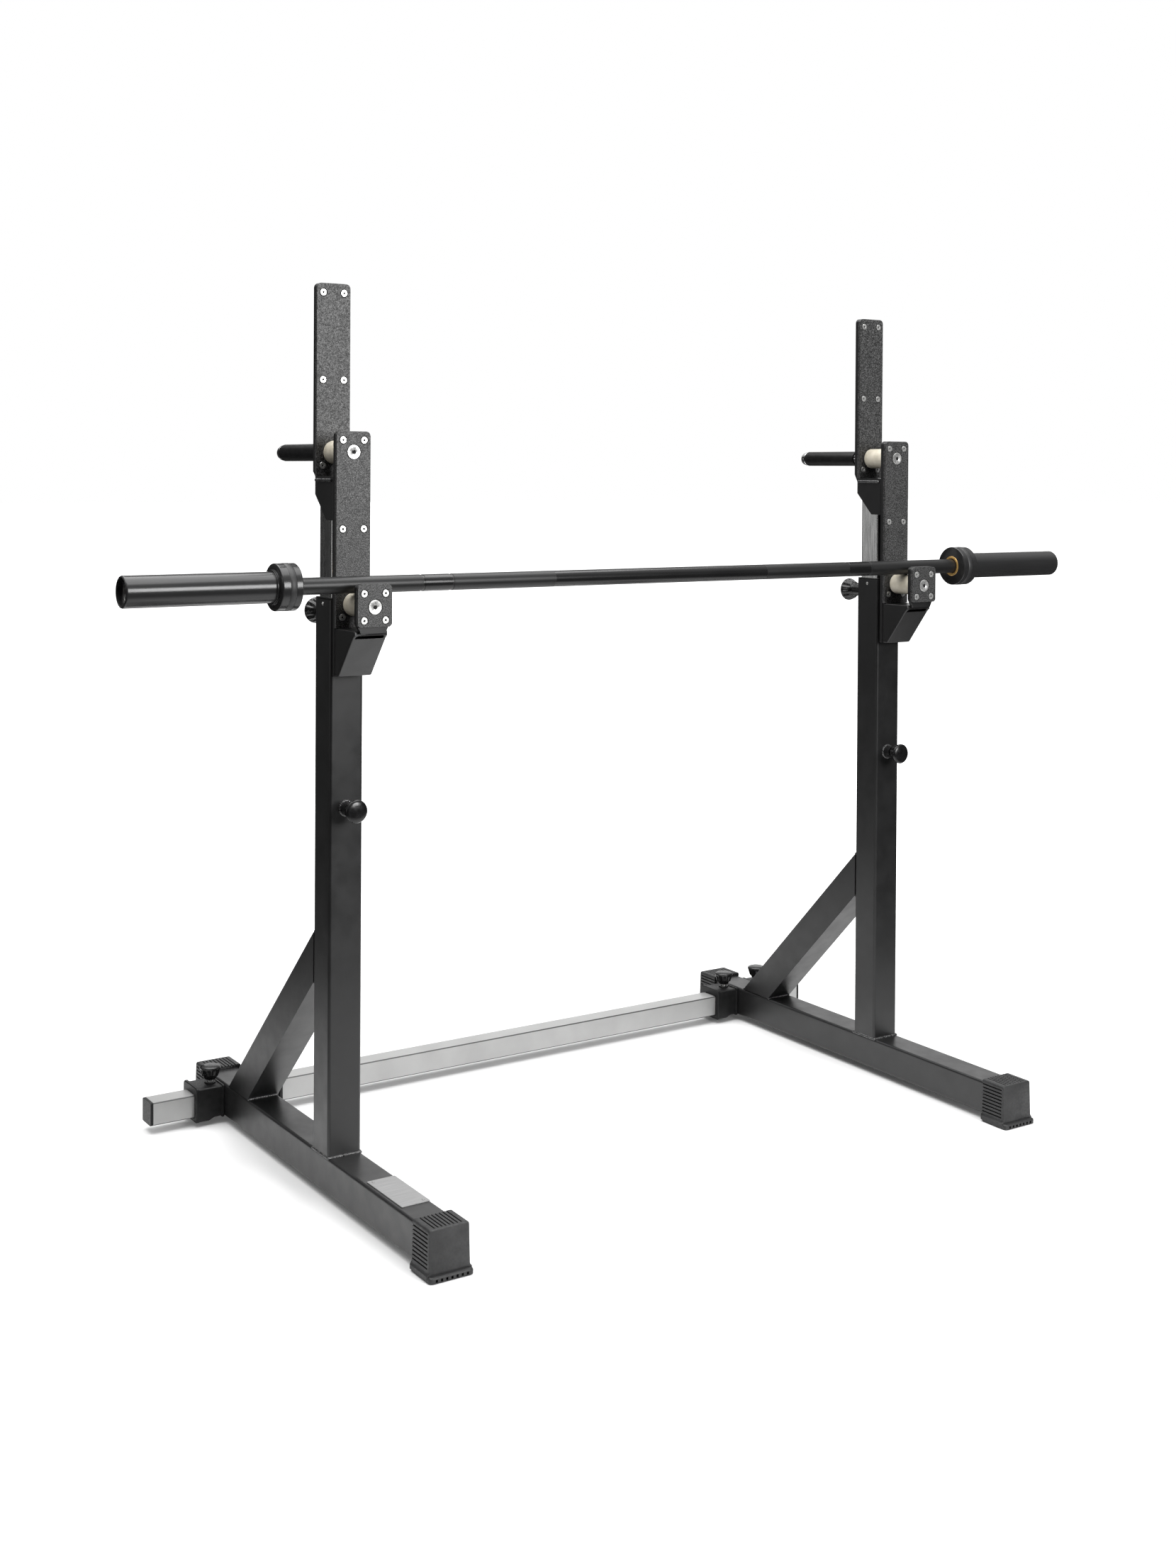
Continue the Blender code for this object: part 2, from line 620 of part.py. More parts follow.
def roller_mesh(length):
    bore = AXLE_RADIUS + SCREW_PLAY
    end = ROLLER_RADIUS - ROLLER_CHAMFER
    return turned_mesh(
        [
            (0, bore), (0, end), (ROLLER_CHAMFER, ROLLER_RADIUS),
            (length - ROLLER_CHAMFER, ROLLER_RADIUS), (length, end), (length, bore),
        ],
        segments=40, bored=True,
    )


def axle_mesh(length):
    """Axle screw with a flat head. The head's underside is at 0 and the shank runs to length."""
    return turned_mesh(
        [
            (length, AXLE_RADIUS), (0, AXLE_RADIUS), (0, AXLE_HEAD_RADIUS),
            (-AXLE_HEAD + AXLE_HEAD_CHAMFER, AXLE_HEAD_RADIUS),
            (-AXLE_HEAD, AXLE_HEAD_RADIUS - AXLE_HEAD_CHAMFER),
        ],
        segments=24,
    )


def build_rollers(side, head, nylon, zinc):
    """A roller in each hook, turning on its axle screw."""
    for name, z, face, low, high, tail in (
        ("upper", UPPER_AXLE_Z, FRONT_LINER_FACE, STRIP_BACK, BACK_LINER_FACE,
         BACK_PLATE_BACK + PEG_THREAD_DEPTH - AXLE_TAIL),
        ("lower", LOWER_AXLE_Z, LIP_LINER_FACE, LIP_BACK, FRONT_LINER_FACE,
         STRIP_BACK + AXLE_TAIL),
    ):
        start = low + ROLLER_END_PLAY
        length = high - low - 2 * ROLLER_END_PLAY
        add_object(
            f"{side}_{name}_roller", roller_mesh(length), nylon, head, (0, start, z), "+Y"
        )
        head_seat = face - GAP
        add_object(
            f"{side}_{name}_axle", axle_mesh(tail - head_seat), zinc, head,
            (0, head_seat, z), "+Y",
        )


def build_peg(side, head, chrome, plastic):
    """Storage peg behind the back plate: a chromed rod screwed on the axle, with a sleeve."""
    start = BACK_PLATE_BACK + GAP
    sleeve_start = PEG_BOSS + GAP
    sleeve_end = sleeve_start + PEG_SLEEVE_LENGTH
    tip = sleeve_end + GAP
    bore = AXLE_RADIUS + SCREW_PLAY
    chamfer = PEG_CHAMFER
    rod = turned_mesh(
        [
            (PEG_THREAD_DEPTH, bore), (0, bore), (0, PEG_RADIUS), (PEG_BOSS, PEG_RADIUS),
            (PEG_BOSS, PEG_CORE_RADIUS), (tip, PEG_CORE_RADIUS), (tip, PEG_RADIUS),
            (tip + PEG_TIP - chamfer, PEG_RADIUS), (tip + PEG_TIP, PEG_RADIUS - chamfer),
        ],
        segments=24,
    )
    add_object(f"{side}_peg_rod", rod, chrome, head, (0, start, UPPER_AXLE_Z), "+Y")
    hollow = PEG_CORE_RADIUS + GAP
    outer = hollow + PEG_SLEEVE_WALL
    sleeve = turned_mesh(
        [
            (sleeve_start, hollow), (sleeve_start, outer - chamfer / 2),
            (sleeve_start + chamfer / 2, outer), (sleeve_end - chamfer, outer),
            (sleeve_end, outer - chamfer), (sleeve_end, hollow),
        ],
        segments=24, bored=True,
    )
    add_object(f"{side}_peg_sleeve", sleeve, plastic, head, (0, start, UPPER_AXLE_Z), "+Y")


def build_crossbar(silver, plastic):
    """Crossbar tube with a plug in each end."""
    root = add_empty("crossbar_axis", (CROSSBAR_SHIFT, UPRIGHT_Y + CROSSBAR_Y, CROSSBAR_MIDDLE))
    half = CROSSBAR_LENGTH / 2
    mesh = tube_mesh(CROSSBAR, CROSSBAR_WALL, CROSSBAR_CORNER, -half, half, "X")
    add_object("crossbar_tube", mesh, silver, root)
    inside = CROSSBAR - 2 * CROSSBAR_WALL - 2 * GAP
    for side, sign in (("left", -1), ("right", 1)):
        head_start = sign * (half + GAP)
        head_end = head_start + sign * PLUG_HEAD
        outline = rounded_rectangle(CROSSBAR, CROSSBAR, CROSSBAR_CORNER)
        mesh = prism_mesh(outline, head_start, head_end, "X")
        plug = add_object(f"{side}_crossbar_plug", mesh, plastic, root)
        stem = prism_mesh(
            rounded_rectangle(inside, inside, PLUG_CORNER),
            sign * (half - PLUG_INSERT), head_start + sign * PLUG_HEAD / 2, "X",
        )
        shape(plug, add_object(f"{side}_plug_stem", stem, None, root), "UNION")


def build_barbell(black, sleeve_finish):
    """Barbell shaft, and a sleeve that turns on each end of it."""
    root = add_empty("barbell_axis", (0, UPRIGHT_Y + BAR_Y, BAR_Z))
    half = BAR_LENGTH / 2
    shaft_half = half - SLEEVE_END_DEPTH - SHAFT_END_GAP
    shaft = turned_mesh([(-shaft_half, SHAFT_RADIUS), (shaft_half, SHAFT_RADIUS)])
    add_object("barbell_shaft", shaft, black, root, facing="+X")
    shoulder = half - SLEEVE_LENGTH
    inner = shoulder - BAR_COLLAR_WIDTH
    chamfer = BAR_COLLAR_CHAMFER
    bore = SLEEVE_BORE
    seat = bore + BUSH_WALL
    recess = SLEEVE_RADIUS - SLEEVE_RIM
    floor = half - SLEEVE_END_DEPTH
    stations = [
        (inner + BUSH_SEAT_DEPTH, bore), (inner + BUSH_SEAT_DEPTH, seat), (inner, seat),
        (inner, BAR_COLLAR_RADIUS - chamfer), (inner + chamfer, BAR_COLLAR_RADIUS),
        (shoulder - chamfer, BAR_COLLAR_RADIUS), (shoulder, BAR_COLLAR_RADIUS - chamfer),
        (shoulder, SLEEVE_RADIUS), (half - chamfer / 2, SLEEVE_RADIUS),
        (half, SLEEVE_RADIUS - chamfer / 2), (half, recess), (floor, recess), (floor, bore),
    ]
    for side, facing in (("left", "-X"), ("right", "+X")):
        mesh = turned_mesh(stations, segments=40, bored=True)
        add_object(f"{side}_barbell_sleeve", mesh, sleeve_finish, root, facing=facing)


def build():
    clear_scene()
    steel = make_material("black_powder_coat", (0.035, 0.035, 0.036), 0.45)
    silver = make_material("silver_tube", (0.62, 0.63, 0.64), 0.35, 0.8)
    rubber = make_material("cap_rubber", (0.03, 0.03, 0.03), 0.75)
    collar_plastic = make_material("collar_plastic", (0.02, 0.02, 0.02), 0.55)
    knob_plastic = make_material("knob_plastic", (0.012, 0.012, 0.012), 0.25)
    liner = make_material("liner_plastic", (0.06, 0.06, 0.06), 0.6)
    nylon = make_material("roller_nylon", (0.72, 0.67, 0.55), 0.45)
    zinc = make_material("zinc_screw", (0.75, 0.75, 0.76), 0.25, 1.0)
    chrome = make_material("chrome_rod", (0.8, 0.8, 0.8), 0.08, 1.0)
    black = make_material("bar_black", (0.02, 0.02, 0.021), 0.35, 0.6)
    for side, sign in (("left", -1), ("right", 1)):
        place = (sign * STAND_SPACING / 2, UPRIGHT_Y, 0)
        stand = add_empty(f"{side}_stand_axis", place)
        head = add_empty(f"{side}_head_axis", place)
        build_foot(side, stand, steel)
        build_upright(side, stand, steel)
        build_brace(side, stand, steel)
        build_cap(side, "front", stand, rubber)
        build_cap(side, "rear", stand, rubber)
        build_collar(side, "outer", sign, stand, collar_plastic)
        build_collar(side, "inner", -sign, stand, collar_plastic)
        build_knobs(side, stand, knob_plastic)
        build_guide(side, stand, collar_plastic)
        build_inner_tube(side, head, silver)
        build_brackets(side, head, steel)
        build_plates(side, head, steel, liner)
        build_rollers(side, head, nylon, zinc)
        build_peg(side, head, chrome, collar_plastic)
    build_crossbar(silver, collar_plastic)
    build_barbell(black, black)


build()
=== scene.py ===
import math
import random

import bmesh
import bpy
from mathutils import Euler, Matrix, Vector


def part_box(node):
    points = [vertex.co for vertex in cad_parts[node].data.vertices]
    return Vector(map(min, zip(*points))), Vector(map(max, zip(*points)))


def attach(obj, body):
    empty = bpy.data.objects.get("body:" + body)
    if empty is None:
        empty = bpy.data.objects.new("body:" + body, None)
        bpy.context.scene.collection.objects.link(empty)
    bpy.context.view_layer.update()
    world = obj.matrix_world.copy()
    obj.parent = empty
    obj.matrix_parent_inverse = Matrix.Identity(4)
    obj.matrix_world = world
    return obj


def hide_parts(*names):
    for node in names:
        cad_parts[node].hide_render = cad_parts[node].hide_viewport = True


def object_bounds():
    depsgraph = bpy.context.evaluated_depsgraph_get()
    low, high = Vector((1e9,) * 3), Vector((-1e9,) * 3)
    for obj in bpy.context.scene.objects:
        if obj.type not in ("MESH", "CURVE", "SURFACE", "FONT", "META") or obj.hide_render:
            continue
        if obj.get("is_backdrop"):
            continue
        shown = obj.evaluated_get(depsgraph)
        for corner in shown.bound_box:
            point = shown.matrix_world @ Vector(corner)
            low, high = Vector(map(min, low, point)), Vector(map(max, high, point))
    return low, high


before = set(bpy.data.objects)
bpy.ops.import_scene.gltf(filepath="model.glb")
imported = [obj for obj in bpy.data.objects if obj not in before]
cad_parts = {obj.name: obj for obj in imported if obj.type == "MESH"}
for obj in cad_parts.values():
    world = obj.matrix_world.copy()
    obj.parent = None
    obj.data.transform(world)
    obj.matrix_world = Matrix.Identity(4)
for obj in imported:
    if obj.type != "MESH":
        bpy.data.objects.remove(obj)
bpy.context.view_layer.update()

# Camera.
# A long lens at shoulder height, out in front of the left stand and turned toward the barbell.
# It is held nearly level and shifted down, so that the uprights stand straight.
camera_data = bpy.data.cameras.new("camera")
camera_data.sensor_width = 36
camera_data.lens = 42.4
camera_data.shift_x = -0.0017
camera_data.shift_y = -0.1869
camera_data.clip_end = 200
camera = bpy.data.objects.new("camera", camera_data)
bpy.context.scene.collection.objects.link(camera)
camera.location = (-1.9392, -2.8661, 1.2045)
heading = Euler((0, 0, -0.5834)).to_matrix()
tilt = Euler((math.pi / 2 - 0.0105, 0, 0)).to_matrix()
roll = Euler((0, 0, 0.0062)).to_matrix()
camera.rotation_euler = (heading @ tilt @ roll).to_euler()
bpy.context.scene.camera = camera
bpy.context.scene.view_settings.view_transform = "Standard"

# Studio.
# A white sheet lies under the rack on a dark floor. To the lens the floor is white out to the
# horizon and only falls into shade close under the feet, while the black sides of the rack mirror
# the sheet and then the dark beyond it. The air is bright overhead and dim low down.
FLOOR_REACH = 60
SHEET_REACH = 0.9
DARK_REACH = 1.6
GLOW_START = 0.5
GLOW_REACH = 3.0
floor_bm = bmesh.new()
bmesh.ops.create_grid(floor_bm, x_segments=1, y_segments=1, size=FLOOR_REACH)
floor_mesh = bpy.data.meshes.new("floor")
floor_bm.to_mesh(floor_mesh)
floor_bm.free()
floor = bpy.data.objects.new("floor", floor_mesh)
bpy.context.scene.collection.objects.link(floor)
floor_paint = bpy.data.materials.new("floor_paint")
floor_paint.use_nodes = True
floor_tree = floor_paint.node_tree
floor_shader = floor_tree.nodes["Principled BSDF"]
floor_shader.inputs["Roughness"].default_value = 1
floor_shader.inputs["Specular IOR Level"].default_value = 0
floor_shader.inputs["Emission Color"].default_value = (1, 1, 1, 1)
floor_place = floor_tree.nodes.new("ShaderNodeTexCoord")
floor_distance = floor_tree.nodes.new("ShaderNodeVectorMath")
floor_distance.operation = "LENGTH"
floor_tree.links.new(floor_place.outputs["Object"], floor_distance.inputs[0])
floor_sight = floor_tree.nodes.new("ShaderNodeLightPath")


def floor_range(near, far, near_value, far_value):
    """Value that changes with the distance from the middle of the floor."""
    spread = floor_tree.nodes.new("ShaderNodeMapRange")
    spread.inputs["From Min"].default_value = near
    spread.inputs["From Max"].default_value = far
    spread.inputs["To Min"].default_value = near_value
    spread.inputs["To Max"].default_value = far_value
    floor_tree.links.new(floor_distance.outputs["Value"], spread.inputs["Value"])
    return spread.outputs["Result"]


floor_colour = floor_tree.nodes.new("ShaderNodeMix")
floor_colour.data_type = "RGBA"
floor_tree.links.new(floor_sight.outputs["Is Camera Ray"], floor_colour.inputs["Factor"])
floor_tree.links.new(floor_range(SHEET_REACH, DARK_REACH, 0.85, 0.04), floor_colour.inputs["A"])
floor_colour.inputs["B"].default_value = (0.72, 0.72, 0.72, 1)
floor_tree.links.new(floor_colour.outputs["Result"], floor_shader.inputs["Base Color"])
floor_glow = floor_tree.nodes.new("ShaderNodeMath")
floor_glow.operation = "MULTIPLY"
floor_tree.links.new(floor_sight.outputs["Is Camera Ray"], floor_glow.inputs[0])
floor_tree.links.new(floor_range(GLOW_START, GLOW_REACH, 0.0, 1.0), floor_glow.inputs[1])
floor_tree.links.new(floor_glow.outputs[0], floor_shader.inputs["Emission Strength"])
floor_mesh.materials.append(floor_paint)
floor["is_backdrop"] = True

world = bpy.data.worlds.new("studio_air")
bpy.context.scene.world = world
world.use_nodes = True
air = world.node_tree
air_light = air.nodes["Background"]
air_height = air.nodes.new("ShaderNodeSeparateXYZ")
air_place = air.nodes.new("ShaderNodeTexCoord")
air_ramp = air.nodes.new("ShaderNodeValToRGB")
air.links.new(air_place.outputs["Generated"], air_height.inputs[0])
air.links.new(air_height.outputs["Z"], air_ramp.inputs["Fac"])
air_ramp.color_ramp.elements[0].position = 0.35
air_ramp.color_ramp.elements[0].color = (0.03, 0.03, 0.03, 1)
air_ramp.color_ramp.elements[1].position = 0.8
air_ramp.color_ramp.elements[1].color = (1, 1, 1, 1)
air_path = air.nodes.new("ShaderNodeLightPath")
air_mix = air.nodes.new("ShaderNodeMix")
air_mix.data_type = "RGBA"
air_mix.inputs["B"].default_value = (1, 1, 1, 1)
air.links.new(air_path.outputs["Is Camera Ray"], air_mix.inputs["Factor"])
air.links.new(air_ramp.outputs["Color"], air_mix.inputs["A"])
air.links.new(air_mix.outputs["Result"], air_light.inputs["Color"])


def hang_softbox(name, place, target, width, height, power):
    """Area light at a place, turned to its target."""
    lamp = bpy.data.lights.new(name, "AREA")
    lamp.shape = "RECTANGLE"
    lamp.size = width
    lamp.size_y = height
    lamp.energy = power
    softbox = bpy.data.objects.new(name, lamp)
    bpy.context.scene.collection.objects.link(softbox)
    softbox.location = place
    aim = Vector(target) - Vector(place)
    softbox.rotation_euler = aim.to_track_quat("-Z", "Y").to_euler()


hang_softbox("softbox_front", (0.9, -4.2, 1.9), (0, 0, 0.9), 1.6, 1.6, 150)
hang_softbox("softbox_top", (-0.3, 0.2, 4.2), (0, 0, 0), 4.5, 4.5, 260)
hang_softbox("softbox_left", (-4.2, 0.8, 1.3), (-0.4, 0, 0.7), 1.0, 1.8, 10)
hang_softbox("softbox_rear", (3.2, 4.3, 1.6), (0, 0, 0.4), 5.5, 2.4, 52)
hang_softbox("softbox_far", (-7.9, 8.4, 1.2), (0.6, 0, 0.9), 2.2, 2.6, 14)


# Foot tubes, uprights and braces.
# Square steel tube with rounded corners, sawn, mitred and welded, then sprayed with one coat of
# black powder that bakes to a satin skin with a fine orange peel.
def new_finish(name, colour, roughness, metallic=0.0, specular=0.5):
    """Start a finish with its plain values, before any noise or relief."""
    material = bpy.data.materials.new(name)
    material.use_nodes = True
    shader = material.node_tree.nodes["Principled BSDF"]
    shader.inputs["Base Color"].default_value = (*colour, 1)
    shader.inputs["Roughness"].default_value = roughness
    shader.inputs["Metallic"].default_value = metallic
    shader.inputs["Specular IOR Level"].default_value = specular
    return material


def grain(material, size, detail=2.0, stretch=(1, 1, 1)):
    """Noise whose lumps are about size metres across, longer where stretch is above one."""
    tree = material.node_tree
    place = tree.nodes.new("ShaderNodeTexCoord")
    mapping = tree.nodes.new("ShaderNodeMapping")
    mapping.inputs["Scale"].default_value = [1 / s for s in stretch]
    noise = tree.nodes.new("ShaderNodeTexNoise")
    noise.inputs["Scale"].default_value = 1 / size
    noise.inputs["Detail"].default_value = detail
    tree.links.new(place.outputs["Object"], mapping.inputs["Vector"])
    tree.links.new(mapping.outputs["Vector"], noise.inputs["Vector"])
    return noise.outputs["Fac"]


def shade_between(material, fac, low, high, start=0.35, end=0.65, socket="Base Color"):
    """Drive a shader socket from low to high by a noise. Low and high are colours or numbers."""
    tree = material.node_tree
    shader = tree.nodes["Principled BSDF"]
    if socket == "Base Color":
        ramp = tree.nodes.new("ShaderNodeValToRGB")
        ramp.color_ramp.elements[0].position = start
        ramp.color_ramp.elements[0].color = (*low, 1)
        ramp.color_ramp.elements[1].position = end
        ramp.color_ramp.elements[1].color = (*high, 1)
        tree.links.new(fac, ramp.inputs["Fac"])
        tree.links.new(ramp.outputs["Color"], shader.inputs[socket])
        return
    spread = tree.nodes.new("ShaderNodeMapRange")
    spread.inputs["From Min"].default_value = start
    spread.inputs["From Max"].default_value = end
    spread.inputs["To Min"].default_value = low
    spread.inputs["To Max"].default_value = high
    tree.links.new(fac, spread.inputs["Value"])
    tree.links.new(spread.outputs["Result"], shader.inputs[socket])


def emboss(material, height, depth, strength=1.0):
    """Lay a relief of a given depth in metres over whatever relief the material already has."""
    tree = material.node_tree
    normal = tree.nodes["Principled BSDF"].inputs["Normal"]
    bump = tree.nodes.new("ShaderNodeBump")
    bump.inputs["Distance"].default_value = depth
    bump.inputs["Strength"].default_value = strength
    tree.links.new(height, bump.inputs["Height"])
    if normal.is_linked:
        tree.links.new(normal.links[0].from_socket, bump.inputs["Normal"])
    tree.links.new(bump.outputs["Normal"], normal)


powder_coat = new_finish("powder_coat_black", (0.008, 0.008, 0.0083), 0.37, specular=0.5)
shade_between(
    powder_coat, grain(powder_coat, 0.09, 3), (0.0068, 0.0068, 0.007), (0.0095, 0.0095, 0.0098)
)
shade_between(powder_coat, grain(powder_coat, 0.03, 4), 0.33, 0.4, socket="Roughness")
emboss(powder_coat, grain(powder_coat, 0.0016, 2), 0.00005, 0.6)


def round_edges(thing, width, segments=2, angle=40):
    """Ease the sharp edges, then even out the shading so that flat faces stay flat."""
    weld = thing.modifiers.new("weld", "WELD")
    weld.merge_threshold = 0.00001
    bevel = thing.modifiers.new("round_edges", "BEVEL")
    bevel.width = width
    bevel.segments = segments
    bevel.limit_method = "ANGLE"
    bevel.angle_limit = math.radians(angle)
    bevel.use_clamp_overlap = True
    even = thing.modifiers.new("even_shading", "WEIGHTED_NORMAL")
    even.weight = 100


def dress(node, material, edge=0.0006):
    """Give a part of the frame its finish and eased edges."""
    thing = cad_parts[node]
    thing.data.materials.clear()
    thing.data.materials.append(material)
    round_edges(thing, edge)


SIDES = {"left": -1, "right": 1}
for side in SIDES:
    for part in ("foot_tube", "upright_tube", "brace_tube"):
        dress(f"{side}_{part}", powder_coat, 0.0005)


# Weld beads.
# The welder's rippled beads close the joints of a stand: round the upright's base, across both
# ends of the brace, and round the two bosses. The powder lies thick and glossy on them.
weld_coat = new_finish("powder_coat_on_weld", (0.02, 0.02, 0.021), 0.24, specular=0.7)
shade_between(weld_coat, grain(weld_coat, 0.006, 3), (0.012, 0.012, 0.013), (0.05, 0.05, 0.05))
emboss(weld_coat, grain(weld_coat, 0.0012, 3), 0.0002)


def add_piece(name, bm, material, body, sharp=38):
    """Close up a mesh, shade it smooth but for its real edges, and let it ride on a body."""
    bmesh.ops.recalc_face_normals(bm, faces=bm.faces)
    mesh = bpy.data.meshes.new(name)
    bm.to_mesh(mesh)
    bm.free()
    mesh.shade_smooth()
    mesh.set_sharp_from_angle(angle=math.radians(sharp))
    mesh.materials.append(material)
    thing = bpy.data.objects.new(name, mesh)
    bpy.context.scene.collection.objects.link(thing)
    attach(thing, body)
    return thing


def loft(bm, rings, ring_round=False):
    """Skin over rings of points. Its ends are capped, or joined into a ring."""
    loops = [[bm.verts.new(point) for point in ring] for ring in rings]
    pairs = list(zip(loops, loops[1:]))
    if ring_round:
        pairs.append((loops[-1], loops[0]))
    for low, high in pairs:
        for here in range(len(low)):
            after = (here + 1) % len(low)
            bm.faces.new((low[here], low[after], high[after], high[here]))
    if not ring_round:
        bm.faces.new(loops[0])
        bm.faces.new(loops[-1])


BEAD_RADIUS = 0.0030
BEAD_SIDES = 10
BEAD_END = 0.4
RIPPLE = 0.0024
RIPPLE_STEPS = 3


def lay_bead(bm, corners, closed, seed):
    """Bead along a polyline, with a ripple every few millimetres and an unsteady hand."""
    hand = random.Random(seed)
    line = [Vector(c) for c in corners]
    if closed:
        line.append(line[0])
    points = []
    for start, end in zip(line, line[1:]):
        count = max(2, round((end - start).length / (RIPPLE / RIPPLE_STEPS)))
        points += [start.lerp(end, step / count) for step in range(count)]
    if not closed:
        points.append(line[-1])
    rings = []
    for index, point in enumerate(points):
        before = points[index - 1] if index or closed else point
        after = points[(index + 1) % len(points)] if index + 1 < len(points) or closed else point
        along = (after - before).normalized()
        across = along.cross(Vector((0.31, 0.17, 0.93))).normalized()
        upward = along.cross(across)
        wave = 0.5 + 0.5 * math.cos(math.tau * index / RIPPLE_STEPS)
        radius = BEAD_RADIUS * (0.82 + 0.16 * wave + 0.1 * hand.random())
        if not closed and index in (0, len(points) - 1):
            radius *= BEAD_END
        sway = across * BEAD_RADIUS * 0.1 * (hand.random() - 0.5)
        ring = []
        for step in range(BEAD_SIDES):
            angle = math.tau * step / BEAD_SIDES
            ring.append(point + sway + (across * math.cos(angle) + upward * math.sin(angle)) * radius)
        rings.append(ring)
    loft(bm, rings, ring_round=closed)


def circle_line(centre, radius, along, count=28):
    """Points round a circle that faces along a direction."""
    facing = Vector(along).to_track_quat("Z", "Y")
    line = []
    for step in range(count):
        angle = math.tau * step / count
        spoke = Vector((radius * math.cos(angle), radius * math.sin(angle), 0))
        line.append(Vector(centre) + facing @ spoke)
    return line


BEAD_INSET = 0.0012
BOSS_BEAD = 0.0118
for side in SIDES:
    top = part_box(f"{side}_foot_tube")[1].z
    upright_low, upright_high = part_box(f"{side}_upright_tube")
    brace_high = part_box(f"{side}_brace_tube")[1]
    guide_low, guide_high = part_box(f"{side}_inner_tube")
    middle_y = (guide_low.y + guide_high.y) / 2
    half = (upright_high.x - upright_low.x) / 2
    middle_x = (upright_high.x + upright_low.x) / 2
    bm = bmesh.new()
    inset = half - BEAD_INSET
    base = [
        (middle_x - inset, middle_y - half), (middle_x + inset, middle_y - half),
        (middle_x + inset, middle_y + half), (middle_x - inset, middle_y + half),
    ]
    lay_bead(bm, [(x, y, top) for x, y in base], True, 3)
    mitre = math.sqrt(2) * 2 * half
    toe_y = brace_high.y
    heel_y = toe_y - mitre
    lay_bead(bm, [(middle_x - inset, toe_y, top), (middle_x + inset, toe_y, top)], False, 5)
    lay_bead(bm, [(middle_x + inset, heel_y, top), (middle_x - inset, heel_y, top)], False, 7)
    head_z = brace_high.z
    neck_z = head_z - mitre
    face_y = middle_y + half
    lay_bead(bm, [(middle_x - inset, face_y, head_z), (middle_x + inset, face_y, head_z)], False, 11)
    lay_bead(bm, [(middle_x + inset, face_y, neck_z), (middle_x - inset, face_y, neck_z)], False, 13)
    add_piece(f"{side}_weld_beads", bm, weld_coat, f"{side}_stand", sharp=60)
    pin_low, pin_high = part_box(f"{side}_lock_pin_knob")
    clamp_low, clamp_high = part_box(f"{side}_height_clamp_knob")
    pin_z = (pin_low.z + pin_high.z) / 2
    clamp_z = (clamp_low.z + clamp_high.z) / 2
    bosses = bmesh.new()
    lay_bead(bosses, circle_line((middle_x, middle_y - half, pin_z), BOSS_BEAD, (0, -1, 0)), True, 17)
    lay_bead(bosses, circle_line((middle_x, middle_y + half, clamp_z), BOSS_BEAD, (0, 1, 0)), True, 19)
    add_piece(f"{side}_boss_weld_beads", bosses, weld_coat, f"{side}_stand", sharp=60)


# Foot caps.
# Black rubber shoes pushed over both ends of a foot tube. Their tops and cheeks are ribbed along
# the tube, and the ribs run out before the smooth nose, which flares toward the sole.
cap_rubber = new_finish("cap_rubber", (0.015, 0.015, 0.0155), 0.5, specular=0.45)
shade_between(cap_rubber, grain(cap_rubber, 0.02, 4), (0.012, 0.012, 0.0125), (0.019, 0.019, 0.0195))
shade_between(cap_rubber, grain(cap_rubber, 0.004, 2), 0.44, 0.6, socket="Roughness")
emboss(cap_rubber, grain(cap_rubber, 0.0011, 3, (6, 1, 1)), 0.00006, 0.5)
RIB_PITCH = 0.0066
GROOVE = 0.0026
GROOVE_DEPTH = 0.0031
TOP_GROOVES = 8
CHEEK_GROOVES = 9
CAP_CORNER = 0.004
CAP_HALF = 0.0343
CAP_NOSE = 0.0095
CAP_FLARE = 0.035
NOSE_LEAN = 0.0018
NOSE_LENGTH = 0.0025
POCKET_SHARE = 0.885
POCKET_LOW = 0.0117
POCKET_HEIGHT = 0.0606
FILLET = 0.0032
FILLET_LOW = 0.0103
FILLET_HIGH = 0.016
CHEEK_LOW = 0.004
CHEEK_RIBS_LOW = 0.0195
CHEEK_RIBS_SHORT = 0.0275


def ease(corners, radius, closed=True, steps=3):
    """Round the corners of a flat outline."""
    points = []
    for index, corner in enumerate(corners):
        here = Vector(corner)
        if not closed and index in (0, len(corners) - 1):
            points.append(here)
            continue
        before = Vector(corners[index - 1]) - here
        after = Vector(corners[(index + 1) % len(corners)]) - here
        reach = min(radius, before.length * 0.49, after.length * 0.49)
        start = here + before.normalized() * reach
        end = here + after.normalized() * reach
        for step in range(steps + 1):
            share = step / steps
            points.append(start * (1 - share) ** 2 + here * 2 * share * (1 - share) + end * share ** 2)
    return points


